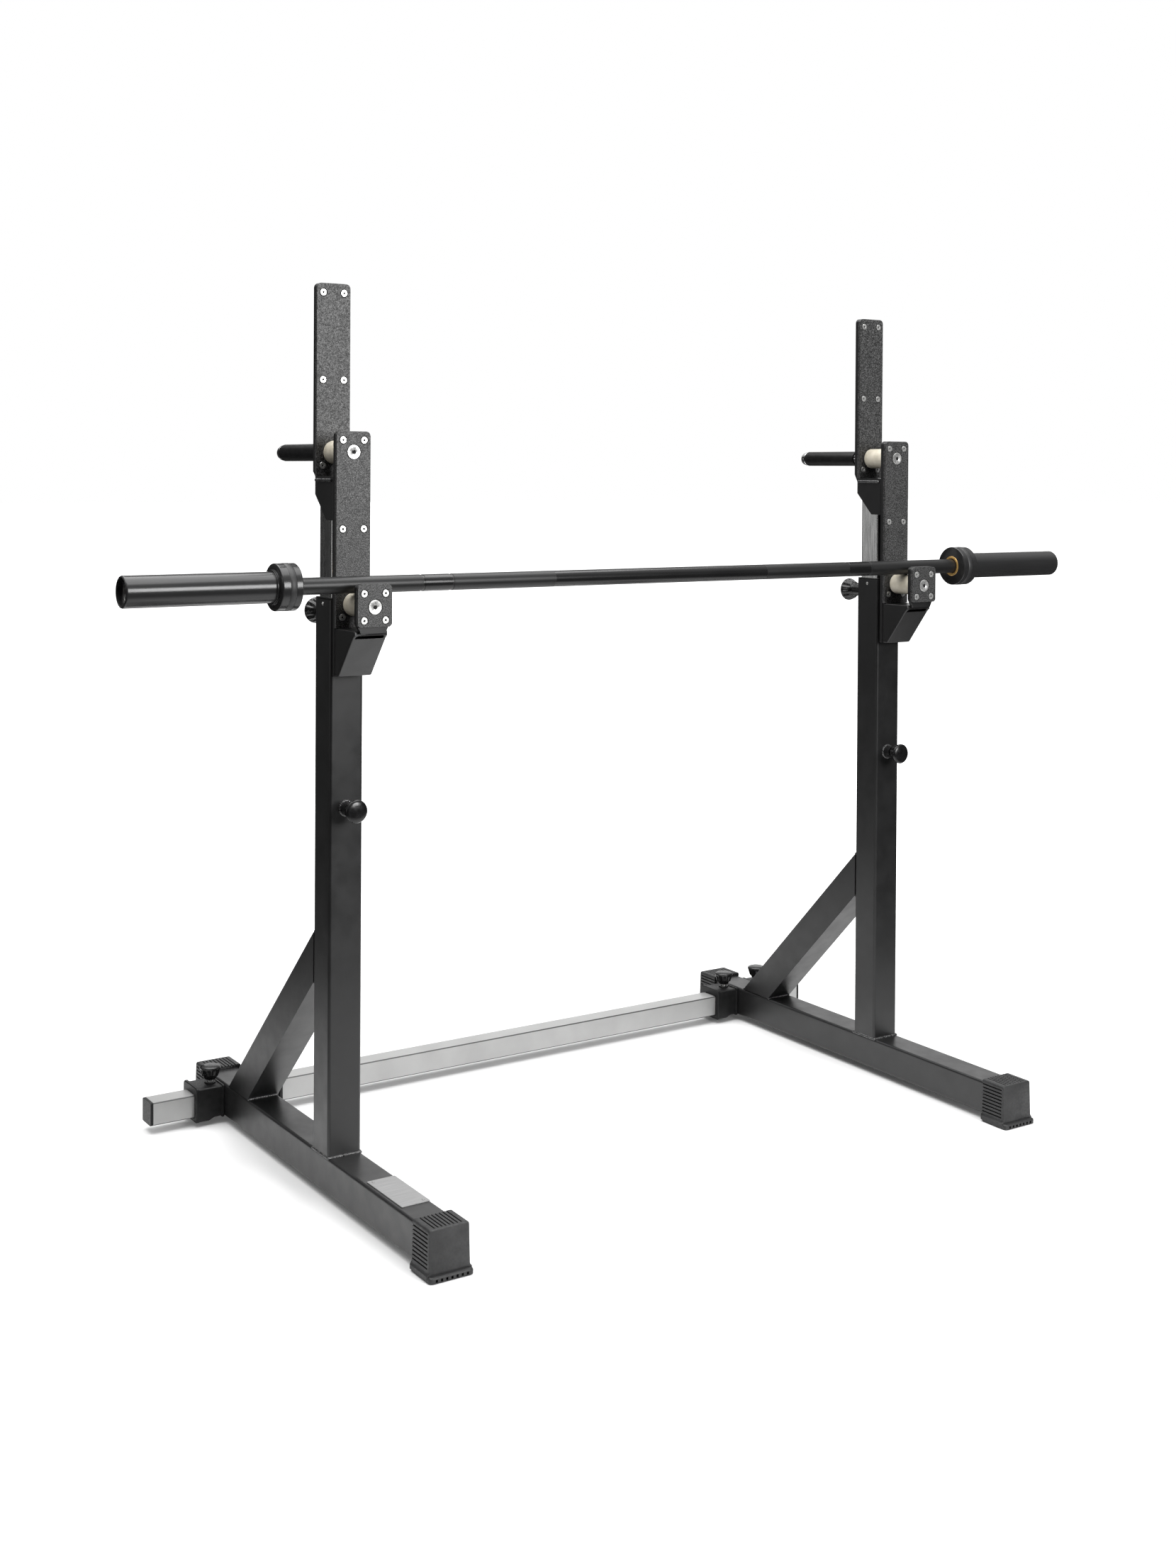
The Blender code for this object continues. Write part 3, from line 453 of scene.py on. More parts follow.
def ribbed_outline(half, top, depth, inset=0.0):
    """Across a cap, from the foot of one cheek over the top to the other. Depth 0 is smooth."""
    groove = ((-GROOVE / 2, 0), (-GROOVE / 3, -depth), (GROOVE / 3, -depth), (GROOVE / 2, 0))
    cheek = []
    for z in (CHEEK_LOW, FILLET_LOW, 0.0116, 0.0134, FILLET_HIGH):
        share = max(0.0, (FILLET_HIGH - z) / (FILLET_HIGH - FILLET_LOW))
        cheek.append((min(FILLET * share ** 2, FILLET), z))
    for index in range(CHEEK_GROOVES):
        rib_z = CHEEK_RIBS_LOW + index * (top - CHEEK_RIBS_SHORT) / (CHEEK_GROOVES - 1)
        cheek += [(sink, rib_z + step) for step, sink in groove]
    roof = []
    for index in range(TOP_GROOVES):
        rib_x = (index - (TOP_GROOVES - 1) / 2) * RIB_PITCH
        roof += [(rib_x + step, sink) for step, sink in groove]
    left = [(-half - grow, z) for grow, z in cheek]
    right = [(half + grow, z) for grow, z in reversed(cheek)]
    shoulder = [(-half, top - 0.02), (-half, top), (-half + 0.02, top)]
    corner = [tuple(point) for point in ease(shoulder, CAP_CORNER, closed=False)[1:-1]]
    outline = left + corner
    outline += [(x, top + sink) for x, sink in roof]
    outline += [(-x, z) for x, z in reversed(corner)] + right
    middle = top / 2
    flared = []
    for x, z in outline:
        x *= 1 + CAP_FLARE * (1 - z / top)
        flared.append((x * (1 - inset / half), middle + (z - middle) * (1 - inset / middle)))
    return flared


def soft_rectangle(low_a, high_a, low_b, high_b, radius, steps=4):
    """Rectangle with rounded corners, given by its limits both ways."""
    corners = [(high_a, high_b), (low_a, high_b), (low_a, low_b), (high_a, low_b)]
    return ease(corners, radius, steps=steps)


def add_box(bm, low, high):
    """Square-edged block, for cutting with."""
    plan = [(low[0], low[1]), (high[0], low[1]), (high[0], high[1]), (low[0], high[1])]
    loft(bm, [[(x, y, z) for x, y in plan] for z in (low[2], high[2])])


def cut_away(thing, name, bm, body):
    """Cut a piece with a hidden shape that rides on the same body."""
    bmesh.ops.recalc_face_normals(bm, faces=bm.faces)
    mesh = bpy.data.meshes.new(name)
    bm.to_mesh(mesh)
    bm.free()
    tool = bpy.data.objects.new(name, mesh)
    bpy.context.scene.collection.objects.link(tool)
    tool.hide_render = True
    tool.display_type = "WIRE"
    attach(tool, body)
    cut = thing.modifiers.new(name, "BOOLEAN")
    cut.operation = "DIFFERENCE"
    cut.solver = "EXACT"
    cut.object = tool


SOLE_HALF = 0.038
SOLE_CORNER = 0.007
SOLE_STEPS = ((0.0014, 0), (0, 0.0014), (0, 0.0074), (0.0006, 0.0088), (0.0022, 0.0098), (0.0036, 0.0103))
NOTCHES = 7
NOTCH_PITCH = 0.0088
NOTCH_HALF = 0.0019
NOTCH_DEPTH = 0.0038
NOTCH_LOW = 0.0024
NOTCH_HIGH = 0.0068
for side in SIDES:
    tube_low, tube_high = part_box(f"{side}_foot_tube")
    middle_x = (tube_low.x + tube_high.x) / 2
    for end, outward in (("front", -1), ("rear", 1)):
        low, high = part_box(f"{side}_{end}_foot_cap")
        mouth, tip = (high.y, low.y) if outward < 0 else (low.y, high.y)
        nose = tip - outward * CAP_NOSE
        tube_end = (tube_low.y if outward < 0 else tube_high.y) + outward * 0.0003
        half, top = CAP_HALF, high.z
        smooth = ribbed_outline(half, top, 0)
        squeeze = POCKET_HEIGHT / (top - CHEEK_LOW)
        pocket = [(x * POCKET_SHARE, POCKET_LOW + (z - CHEEK_LOW) * squeeze) for x, z in smooth]
        ribbed = ribbed_outline(half, top, GROOVE_DEPTH)
        places = (
            (tube_end, pocket),
            (mouth, pocket),
            (mouth, ribbed_outline(half, top, GROOVE_DEPTH, 0.0008)),
            (mouth + outward * 0.0008, ribbed),
            (nose - outward * 0.0056, ribbed),
            (nose - outward * 0.0046, smooth),
            (nose - outward * 0.0018, smooth),
            (nose - outward * 0.0006, ribbed_outline(half, top, 0, 0.0005)),
            (nose, ribbed_outline(half, top, 0, 0.0016)),
        )
        rings = []
        for y, outline in places:
            forward = outward * NOSE_LEAN if abs(y - nose) < NOSE_LENGTH else 0
            rings.append([(middle_x + x, y + forward * (1 - z / top), z) for x, z in outline])
        bm = bmesh.new()
        loft(bm, rings)
        cap = add_piece(f"{side}_{end}_cap", bm, cap_rubber, f"{side}_stand", sharp=35)
        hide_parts(f"{side}_{end}_foot_cap")

        plan = []
        for inset, z in SOLE_STEPS:
            front, back = sorted((mouth, tip - outward * inset))
            outline = soft_rectangle(
                middle_x - SOLE_HALF + inset, middle_x + SOLE_HALF - inset, front, back, SOLE_CORNER,
                steps=5,
            )
            plan.append([(x, y, z) for x, y in outline])
        bm = bmesh.new()
        loft(bm, plan)
        sole = add_piece(
            f"{side}_{end}_cap_sole", bm, cap_rubber, f"{side}_stand", sharp=50
        )
        notches = bmesh.new()
        for index in range(NOTCHES):
            x = middle_x + (index - (NOTCHES - 1) / 2) * NOTCH_PITCH
            front, back = sorted((tip + outward * 0.002, tip - outward * NOTCH_DEPTH))
            add_box(notches, (x - NOTCH_HALF, front, NOTCH_LOW), (x + NOTCH_HALF, back, NOTCH_HIGH))
        cut_away(sole, f"{side}_{end}_sole_notches", notches, f"{side}_stand")


# Badge plate.
# A thin brushed steel plate, left blank, that lies on top of the left foot in front of the
# upright. A rivet at each of two opposite corners holds it.
badge_steel = new_finish("badge_brushed_steel", (0.26, 0.26, 0.26), 0.42, metallic=0.3)
brushing = grain(badge_steel, 0.0012, 4, (40, 1, 1))
shade_between(badge_steel, brushing, (0.22, 0.22, 0.22), (0.30, 0.30, 0.30), 0.3, 0.7)
emboss(badge_steel, brushing, 0.00003, 0.5)


def turn(bm, centre, along, profile, segments=48, bored=False, flutes=0):
    """Lathe a profile of (distance, radius, flute depth) round an axis that starts at centre."""
    facing = Vector(along).to_track_quat("Z", "Y")
    rings = []
    for distance, radius, *flute in profile:
        depth = flute[0] if flute else 0
        ring = []
        for step in range(segments):
            angle = math.tau * (step + 0.5) / segments
            reach = radius * (1 - depth * (0.5 + 0.5 * math.cos(flutes * angle)))
            across = Vector((reach * math.cos(angle), reach * math.sin(angle), distance))
            ring.append(Vector(centre) + facing @ across)
        rings.append(ring)
    loft(bm, rings, ring_round=bored)


BADGE_HALF_WIDTH = 0.025
BADGE_HALF_LENGTH = 0.060
BADGE_THICKNESS = 0.0014
BADGE_OFFSET = 0.003
BADGE_AHEAD = 0.215
RIVET_INSET = 0.008
foot_low, foot_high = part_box("left_foot_tube")
guide_low, guide_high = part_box("left_inner_tube")
badge_x = (foot_low.x + foot_high.x) / 2 + BADGE_OFFSET
badge_y = (guide_low.y + guide_high.y) / 2 - BADGE_AHEAD
bm = bmesh.new()
rings = []
for inset, rise in ((0, 0.0001), (0, 0.0010), (0.0004, BADGE_THICKNESS)):
    half_x = BADGE_HALF_WIDTH - inset
    half_y = BADGE_HALF_LENGTH - inset
    outline = soft_rectangle(
        badge_x - half_x, badge_x + half_x, badge_y - half_y, badge_y + half_y, 0.0022
    )
    rings.append([(x, y, foot_high.z + rise) for x, y in outline])
loft(bm, rings)
add_piece("left_badge_plate", bm, badge_steel, "left_stand", sharp=30)
rivets = bmesh.new()
rivet_x = BADGE_HALF_WIDTH - RIVET_INSET
rivet_y = BADGE_HALF_LENGTH - RIVET_INSET
dome = [(0, 0.0024), (0.0004, 0.0024), (0.0009, 0.0020), (0.0012, 0.0010)]
for x, y in ((badge_x - rivet_x, badge_y + rivet_y), (badge_x + rivet_x, badge_y - rivet_y)):
    turn(rivets, (x, y, foot_high.z + BADGE_THICKNESS), (0, 0, 1), dome, segments=20)
add_piece("left_badge_rivets", rivets, badge_steel, "left_stand")


# Crossbar and its collars.
# Square tube sprayed silver and plugged at the ends; the dark along its rolled corners is painted
# shade, for the dark that they mirror. It runs through a moulded collar on each side of a foot: a
# box with a thin flange at the foot, an arch underneath and a stout rim outside.
silver_paint = new_finish("silver_paint", (0.33, 0.33, 0.327), 0.36, metallic=0.4)
shade_between(silver_paint, grain(silver_paint, 0.08, 3), (0.31, 0.31, 0.307), (0.35, 0.35, 0.347))
shade_between(silver_paint, grain(silver_paint, 0.0008, 2), 0.34, 0.46, socket="Roughness")
emboss(silver_paint, grain(silver_paint, 0.0014, 2), 0.00003, 0.5)
dress("crossbar_tube", silver_paint, 0.0005)


def paint_corner_shade(material, colour, width):
    """Paint shade onto the rolled corners of a square tube, where the skin faces between two flats."""
    tree = material.node_tree
    shader = tree.nodes["Principled BSDF"]
    skin = tree.nodes.new("ShaderNodeNewGeometry")
    split = tree.nodes.new("ShaderNodeSeparateXYZ")
    tree.links.new(skin.outputs["Normal"], split.inputs[0])
    product = tree.nodes.new("ShaderNodeMath")
    product.operation = "MULTIPLY"
    tree.links.new(split.outputs["Y"], product.inputs[0])
    tree.links.new(split.outputs["Z"], product.inputs[1])
    size = tree.nodes.new("ShaderNodeMath")
    size.operation = "ABSOLUTE"
    tree.links.new(product.outputs[0], size.inputs[0])
    spread = tree.nodes.new("ShaderNodeMapRange")
    spread.inputs["From Min"].default_value = 0.5 - width
    spread.inputs["From Max"].default_value = 0.5 - width / 2
    tree.links.new(size.outputs[0], spread.inputs["Value"])
    corner_shade_mix = tree.nodes.new("ShaderNodeMix")
    corner_shade_mix.data_type = "RGBA"
    corner_shade_mix.inputs["B"].default_value = (*colour, 1)
    tree.links.new(spread.outputs["Result"], corner_shade_mix.inputs["Factor"])
    tree.links.new(shader.inputs["Base Color"].links[0].from_socket, corner_shade_mix.inputs["A"])
    tree.links.new(corner_shade_mix.outputs["Result"], shader.inputs["Base Color"])


# Painted shade on the silver tube's rolled corners, in place of the dark that their curve mirrors.
paint_corner_shade(silver_paint, (0.06, 0.06, 0.06), 0.32)

moulded_black = new_finish("moulded_black", (0.006, 0.006, 0.0062), 0.42, specular=0.22)
shade_between(
    moulded_black, grain(moulded_black, 0.012, 3), (0.005, 0.005, 0.0052), (0.009, 0.009, 0.0092)
)
shade_between(moulded_black, grain(moulded_black, 0.003, 3), 0.36, 0.5, socket="Roughness")
emboss(moulded_black, grain(moulded_black, 0.0009, 2), 0.00004, 0.5)
for side in SIDES:
    dress(f"{side}_crossbar_plug", moulded_black, 0.0008)
    dress(f"{side}_guide_bush", moulded_black, 0.0006)

COLLAR_RIM = 0.003
COLLAR_BORE = 0.0219
ARCH_RISE = 0.005
ARCH_SHARE = 0.4
bar_low, bar_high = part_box("crossbar_tube")
bar_z = (bar_low.z + bar_high.z) / 2
for side, facing in SIDES.items():
    for place, sign in (("outer", facing), ("inner", -facing)):
        low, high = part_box(f"{side}_{place}_collar")
        start, end = (low.x, high.x) if sign > 0 else (high.x, low.x)
        length = abs(end - start)
        middle_y = (low.y + high.y) / 2
        rim_half, rim_top, floor_z = (high.y - low.y) / 2, high.z, low.z
        half, top = rim_half - COLLAR_RIM, high.z - COLLAR_RIM
        bore, lift = COLLAR_BORE, ARCH_RISE
        relief = length * ARCH_SHARE
        shells = (
            (0, bore, bar_z - bore, bar_z + bore, 0.003),
            (length, bore, bar_z - bore, bar_z + bore, 0.003),
            (length, rim_half - 0.0012, floor_z + 0.0012, rim_top - 0.0012, 0.006),
            (length - 0.0012, rim_half, floor_z, rim_top, 0.007),
            (length - 0.0056, rim_half, floor_z, rim_top, 0.007),
            (length - 0.0068, half, floor_z, top, 0.005),
            (relief + 0.006, half, floor_z, top, 0.005),
            (relief + 0.001, half, floor_z + lift * 0.5, top, 0.005),
            (relief - 0.004, half, floor_z + lift * 0.9, top, 0.005),
            (0.0046, half, floor_z + lift, top, 0.005),
            (0.0036, half + 0.0018, floor_z + lift * 0.6, top + 0.0016, 0.004),
            (0.0008, half + 0.0018, floor_z + lift * 0.6, top + 0.0016, 0.004),
            (0, half + 0.0012, floor_z + lift * 0.7, top + 0.0010, 0.004),
        )
        rings = []
        for along, half_y, z_low, z_high, radius in shells:
            outline = soft_rectangle(middle_y - half_y, middle_y + half_y, z_low, z_high, radius)
            rings.append([(start + sign * along, y, z) for y, z in outline])
        bm = bmesh.new()
        loft(bm, rings, ring_round=True)
        knob_low, knob_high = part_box(f"{side}_{place}_clamp_knob")
        knob_x = (knob_low.x + knob_high.x) / 2
        knob_y = (knob_low.y + knob_high.y) / 2
        collar_boss = [
            (-0.001, 0.0058), (-0.001, 0.0105), (0.0012, 0.0105), (0.0022, 0.0096), (0.0022, 0.0066),
            (0.0016, 0.0058),
        ]
        turn(bm, (knob_x, knob_y, top), (0, 0, 1), collar_boss, segments=32, bored=True)
        collar = add_piece(
            f"{side}_{place}_bar_collar", bm, moulded_black, f"{side}_stand", sharp=35
        )
        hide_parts(f"{side}_{place}_collar")


# Knobs.
# Fluted knobs of glossy black plastic, moulded onto bright threaded studs: one on each collar, one
# on the lock pin in front of an upright, and a larger one with a long hub behind it.
knob_gloss = new_finish("knob_gloss", (0.007, 0.007, 0.0073), 0.22, specular=0.4)
shade_between(knob_gloss, grain(knob_gloss, 0.01, 3), 0.18, 0.3, socket="Roughness")
shade_between(knob_gloss, grain(knob_gloss, 0.02, 3), (0.005, 0.005, 0.0053), (0.009, 0.009, 0.0093))
emboss(knob_gloss, grain(knob_gloss, 0.003, 2), 0.00004, 0.4)
stud_zinc = new_finish("stud_zinc", (0.62, 0.62, 0.61), 0.28, metallic=0.9)
shade_between(stud_zinc, grain(stud_zinc, 0.004, 3), (0.5, 0.5, 0.49), (0.7, 0.7, 0.69))
emboss(stud_zinc, grain(stud_zinc, 0.0008, 2), 0.00003, 0.5)
THREAD = 0.00125
FLUTES = 12
HUB_RADIUS = 0.0114


def add_knob(label, node, body, seat, along, stud, hub=0.0):
    """Knob whose underside is at seat, with a stud of a given length behind it and maybe a hub."""
    low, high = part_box(node)
    radius = (high.x - low.x) / 2
    profile = [
        (0, radius * 0.42), (0, radius * 0.5), (0.0012, radius * 0.56), (0.0045, radius * 0.62),
        (0.0062, radius * 0.78, 0.1), (0.0095, radius * 0.84, 0.15), (0.0165, radius * 0.95, 0.15),
        (0.0185, radius * 0.985, 0.1), (0.0202, radius, 0), (0.0220, radius, 0),
        (0.0236, radius * 0.94, 0), (0.0249, radius * 0.78, 0), (0.0257, radius * 0.5, 0),
        (0.0260, radius * 0.2, 0),
    ]
    if hub:
        hub_side = [(-hub, HUB_RADIUS - 0.0014), (0.0008 - hub, HUB_RADIUS), (-0.0002, HUB_RADIUS)]
        profile = hub_side + profile[1:]
    bm = bmesh.new()
    turn(bm, seat, along, profile, segments=96, flutes=FLUTES)
    knob = add_piece(label, bm, knob_gloss, body, sharp=50)
    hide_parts(node)
    threads = bmesh.new()
    ridge = [(0.0004, 0.0040)]
    distance = -0.0002
    while distance > -stud:
        ridge += [
            (distance, 0.0047), (distance - THREAD * 0.4, 0.0047), (distance - THREAD * 0.6, 0.0041),
        ]
        distance -= THREAD
    ridge.append((-stud, 0.0040))
    turn(threads, seat, along, ridge, segments=24)
    add_piece(f"{label}_stud", threads, stud_zinc, body, sharp=60)


KNOB_HEIGHT = 0.026
for side in SIDES:
    for place in ("outer", "inner"):
        low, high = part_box(f"{side}_{place}_clamp_knob")
        collar_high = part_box(f"{side}_{place}_collar")[1]
        seat = Vector(((low.x + high.x) / 2, (low.y + high.y) / 2, high.z - KNOB_HEIGHT))
        stud = seat.z - (collar_high.z - COLLAR_RIM) - 0.0003
        add_knob(
            f"{side}_{place}_clamp", f"{side}_{place}_clamp_knob", f"{side}_{place}_clamp_knob",
            seat, (0, 0, 1), stud,
        )
    low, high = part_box(f"{side}_lock_pin_knob")
    seat = Vector(((low.x + high.x) / 2, low.y + KNOB_HEIGHT, (low.z + high.z) / 2))
    add_knob(
        f"{side}_lock_pin", f"{side}_lock_pin_knob", f"{side}_lock_pin_knob", seat, (0, -1, 0),
        high.y - seat.y,
    )
    low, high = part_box(f"{side}_height_clamp_knob")
    boss_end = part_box(f"{side}_upright_tube")[1].y
    seat = Vector(((low.x + high.x) / 2, high.y - KNOB_HEIGHT, (low.z + high.z) / 2))
    add_knob(
        f"{side}_height_clamp", f"{side}_height_clamp_knob", f"{side}_height_clamp_knob", seat,
        (0, 1, 0), seat.y - low.y, hub=seat.y - boss_end - 0.0006,
    )


# Guide screws.
# Small zinc button screws through both cheeks of an upright, just under its mouth, which hold the
# plastic guide that the head slides in.
GUIDE_SCREW_DROP = 0.0075
button = [
    (-0.0010, 0.0024), (0.0002, 0.0030), (0.0009, 0.0028), (0.0014, 0.0018), (0.0014, 0.0010),
    (0.0006, 0.0009),
]
for side in SIDES:
    low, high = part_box(f"{side}_upright_tube")
    guide_low, guide_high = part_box(f"{side}_inner_tube")
    middle_y = (guide_low.y + guide_high.y) / 2
    screw_z = high.z - GUIDE_SCREW_DROP
    bm = bmesh.new()
    for x, sign in ((low.x, -1), (high.x, 1)):
        turn(bm, (x, middle_y, screw_z), (sign, 0, 0), button, segments=24)
    add_piece(f"{side}_guide_screws", bm, stud_zinc, f"{side}_stand")


# Heads.
# Each head is a bright plated inner tube, with brackets and plates welded to it in thick flat
# steel that is sprayed black like the stands.
bright_tube = new_finish("bright_tube", (0.55, 0.55, 0.545), 0.2, metallic=1.0)
shade_between(bright_tube, grain(bright_tube, 0.03, 4, (1, 1, 6)), (0.48, 0.48, 0.475), (0.6, 0.6, 0.595))
shade_between(bright_tube, grain(bright_tube, 0.002, 3, (1, 1, 20)), 0.16, 0.26, socket="Roughness")
emboss(bright_tube, grain(bright_tube, 0.0008, 2, (1, 1, 20)), 0.00001, 0.4)
SHELF_SEAM = 0.0062
for side in SIDES:
    dress(f"{side}_inner_tube", bright_tube, 0.0005)
    for part in ("upper_bracket", "back_plate", "front_plate", "lip_plate"):
        dress(f"{side}_{part}", powder_coat, 0.0008)
    dress(f"{side}_lower_bracket", powder_coat, 0.0022)
    low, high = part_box(f"{side}_upper_bracket")
    seam_z = high.z - SHELF_SEAM
    bm = bmesh.new()
    for x, seed in ((low.x, 23), (high.x, 29)):
        lay_bead(bm, [(x, low.y + 0.004, seam_z), (x, high.y - 0.003, seam_z)], False, seed)
    add_piece(f"{side}_shelf_weld_beads", bm, weld_coat, f"{side}_head", sharp=60)


# Liners and their screws.
# Hard black plastic with a pebbled skin on every plate the bar can touch, held by countersunk
# zinc screws. A dark disc set down in each hexagon socket is painted shade.
liner_skin = new_finish("liner_skin", (0.05, 0.05, 0.05), 0.42, specular=0.5)
shade_between(
    liner_skin, grain(liner_skin, 0.0016, 3), (0.004, 0.004, 0.004), (0.105, 0.105, 0.105), 0.45, 0.62
)
shade_between(liner_skin, grain(liner_skin, 0.0030, 2), 0.35, 0.55, socket="Roughness")
emboss(liner_skin, grain(liner_skin, 0.0014, 2), 0.0004, 0.8)
screw_zinc = new_finish("screw_zinc", (0.62, 0.62, 0.61), 0.3, metallic=0.75)
shade_between(screw_zinc, grain(screw_zinc, 0.003, 3), (0.5, 0.5, 0.49), (0.72, 0.72, 0.71))
shade_between(screw_zinc, grain(screw_zinc, 0.0012, 2), 0.25, 0.38, socket="Roughness")
emboss(screw_zinc, grain(screw_zinc, 0.0006, 2), 0.00002, 0.5)
# Painted shade: a near-black finish for the discs set down in each screw and axle socket.
socket_shade = new_finish("socket_shade", (0.01, 0.01, 0.01), 0.7, specular=0.2)
shade_between(socket_shade, grain(socket_shade, 0.0008, 3), (0.005, 0.005, 0.005), (0.03, 0.03, 0.03))
emboss(socket_shade, grain(socket_shade, 0.0004, 2), 0.0001, 0.5)
SCREW_HEAD = 0.0059
SCREW_SPREAD = 0.019
HEAD_SIDES = 24


def hex_rings(head, across, sink, rise):
    """Rings of (distance, reach at each step round) over a screw's head and down its socket."""
    six = []
    for step in range(HEAD_SIDES):
        angle = math.tau * step / HEAD_SIDES
        six.append(across / 2 / math.cos((angle % (math.tau / 6)) - math.tau / 12))
    rings = [
        (-0.0004, [head] * HEAD_SIDES),
        (rise - 0.0004, [head] * HEAD_SIDES),
        (rise, [head - 0.0005] * HEAD_SIDES),
    ]
    rings += [(rise, [reach * 1.16 for reach in six]), (rise - 0.0003, six), (rise - sink, six)]
    return rings


def add_screw(bm, centre, along, head, across, sink, rise, behind):
    """Socket screw. Behind lists (distance, radius) from the point of the shank up to the head."""
    facing = Vector(along).to_track_quat("Z", "Y")
    stations = [(distance, [radius] * HEAD_SIDES) for distance, radius in behind]
    rings = []
    for distance, reaches in stations + hex_rings(head, across, sink, rise):
        ring = []
        for step, reach in enumerate(reaches):
            angle = math.tau * step / HEAD_SIDES
            place = Vector((reach * math.cos(angle), reach * math.sin(angle), distance))
            ring.append(Vector(centre) + facing @ place)
        rings.append(ring)
    loft(bm, rings)


ROWS_BELOW_TOP = {
    "back_liner": (0.0155, 0.161, 0.304),
    "front_liner": (0.0144, 0.160, 0.304),
    "lip_liner": (0.015, 0.0583),
}
well = [(-0.001, 0.0076), (0, 0.0072), (0.0008, 0.0070), (0.0030, 0.0040)]
shank = [(-0.0028, 0.0030), (-0.0020, 0.0040)]
# Profiles of the painted shade discs inside a screw socket and an axle socket.
screw_socket_shade = [(0.0006, 0.0012), (0.0009, 0.0015), (0.0018, 0.0015)]
axle_socket_shade = [(0.0004, 0.0026), (0.0008, 0.0031), (0.0030, 0.0031)]
for side in SIDES:
    for part, rows in ROWS_BELOW_TOP.items():
        node = f"{side}_{part}"
        low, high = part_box(node)
        middle_x = (low.x + high.x) / 2
        sinks = bmesh.new()
        screws = bmesh.new()
        socket_shade_discs = bmesh.new()
        for drop in rows:
            for x in (middle_x - SCREW_SPREAD, middle_x + SCREW_SPREAD):
                place = (x, low.y, high.z - drop)
                turn(socket_shade_discs, place, (0, 1, 0), screw_socket_shade, segments=6)
                turn(sinks, place, (0, 1, 0), well, segments=24)
                add_screw(
                    screws, place, (0, -1, 0), head=SCREW_HEAD, across=0.0032, sink=0.0022,
                    rise=0.0003, behind=shank,
                )
        if part != "back_liner":
            axle = "upper_axle" if part == "front_liner" else "lower_axle"
            axle_low, axle_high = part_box(f"{side}_{axle}")
            place = (middle_x, low.y, (axle_low.z + axle_high.z) / 2)
            turn(sinks, place, (0, 1, 0), [(-0.001, 0.0132), (0.0012, 0.0132)], segments=48)
            turn(socket_shade_discs, place, (0, 1, 0), axle_socket_shade, segments=6)
        cut_away(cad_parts[node], f"{node}_wells", sinks, f"{side}_head")
        dress(node, liner_skin, 0.0008)
        add_piece(f"{side}_{part}_screws", screws, screw_zinc, f"{side}_head", sharp=35)
        add_piece(f"{side}_{part}_sockets", socket_shade_discs, socket_shade, f"{side}_head", sharp=35)


# Rollers, axle screws and pegs.
# Cream nylon rollers turn on stout socket screws. The upper screw runs on through the back plate
# into a chromed peg that wears a black sleeve between two chromed rings.
nylon = new_finish("cream_nylon", (0.66, 0.61, 0.50), 0.4, specular=0.4)
shade_between(nylon, grain(nylon, 0.015, 4), (0.60, 0.55, 0.44), (0.72, 0.67, 0.56))
emboss(nylon, grain(nylon, 0.0006, 3, (1, 1, 8)), 0.00005, 0.5)
chrome = new_finish("chrome", (0.75, 0.75, 0.75), 0.1, metallic=1.0)
shade_between(chrome, grain(chrome, 0.01, 3), 0.06, 0.18, socket="Roughness")
emboss(chrome, grain(chrome, 0.004, 2), 0.00002, 0.3)
PLATE_RING = 0.0060
TIP_RING = 0.0048
for side in SIDES:
    for part in ("upper", "lower"):
        dress(f"{side}_{part}_roller", nylon, 0.0008)
        low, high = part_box(f"{side}_{part}_axle")
        liner_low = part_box(f"{side}_{'front' if part == 'upper' else 'lip'}_liner")[0]
        centre = ((low.x + high.x) / 2, liner_low.y, (low.z + high.z) / 2)
        bm = bmesh.new()
        shank = [(liner_low.y - high.y, 0.0058), (-0.0009, 0.0058), (-0.0009, 0.0112)]
        add_screw(
            bm, centre, (0, -1, 0), head=0.0117, across=0.0065, sink=0.0032, rise=0.0008,
            behind=shank,
        )
        axle = add_piece(
            f"{side}_{part}_axle_screw", bm, screw_zinc, f"{side}_head", sharp=35
        )
        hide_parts(f"{side}_{part}_axle")
    dress(f"{side}_peg_rod", chrome, 0.0005)
    dress(f"{side}_peg_sleeve", moulded_black, 0.0008)
    rod_low, rod_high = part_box(f"{side}_peg_rod")
    sleeve_low, sleeve_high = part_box(f"{side}_peg_sleeve")
    centre = ((rod_low.x + rod_high.x) / 2, 0, (rod_low.z + rod_high.z) / 2)
    rod_radius = (rod_high.x - rod_low.x) / 2
    sleeve_radius = (sleeve_high.x - sleeve_low.x) / 2
    bm = bmesh.new()
    for near, length, reach in (
        (rod_low.y + 0.0002, PLATE_RING, sleeve_radius + 0.0010),
        (sleeve_high.y + 0.0002, TIP_RING, sleeve_radius - 0.0008),
    ):
        far = near + length
        ring = [
            (near, rod_radius - 0.0005), (near, reach - 0.0005), (near + 0.0005, reach),
            (far - 0.0005, reach), (far, reach - 0.0005), (far, rod_radius - 0.0005),
        ]
        turn(bm, centre, (0, 1, 0), ring, segments=40, bored=True)
    add_piece(f"{side}_peg_rings", bm, chrome, f"{side}_head")


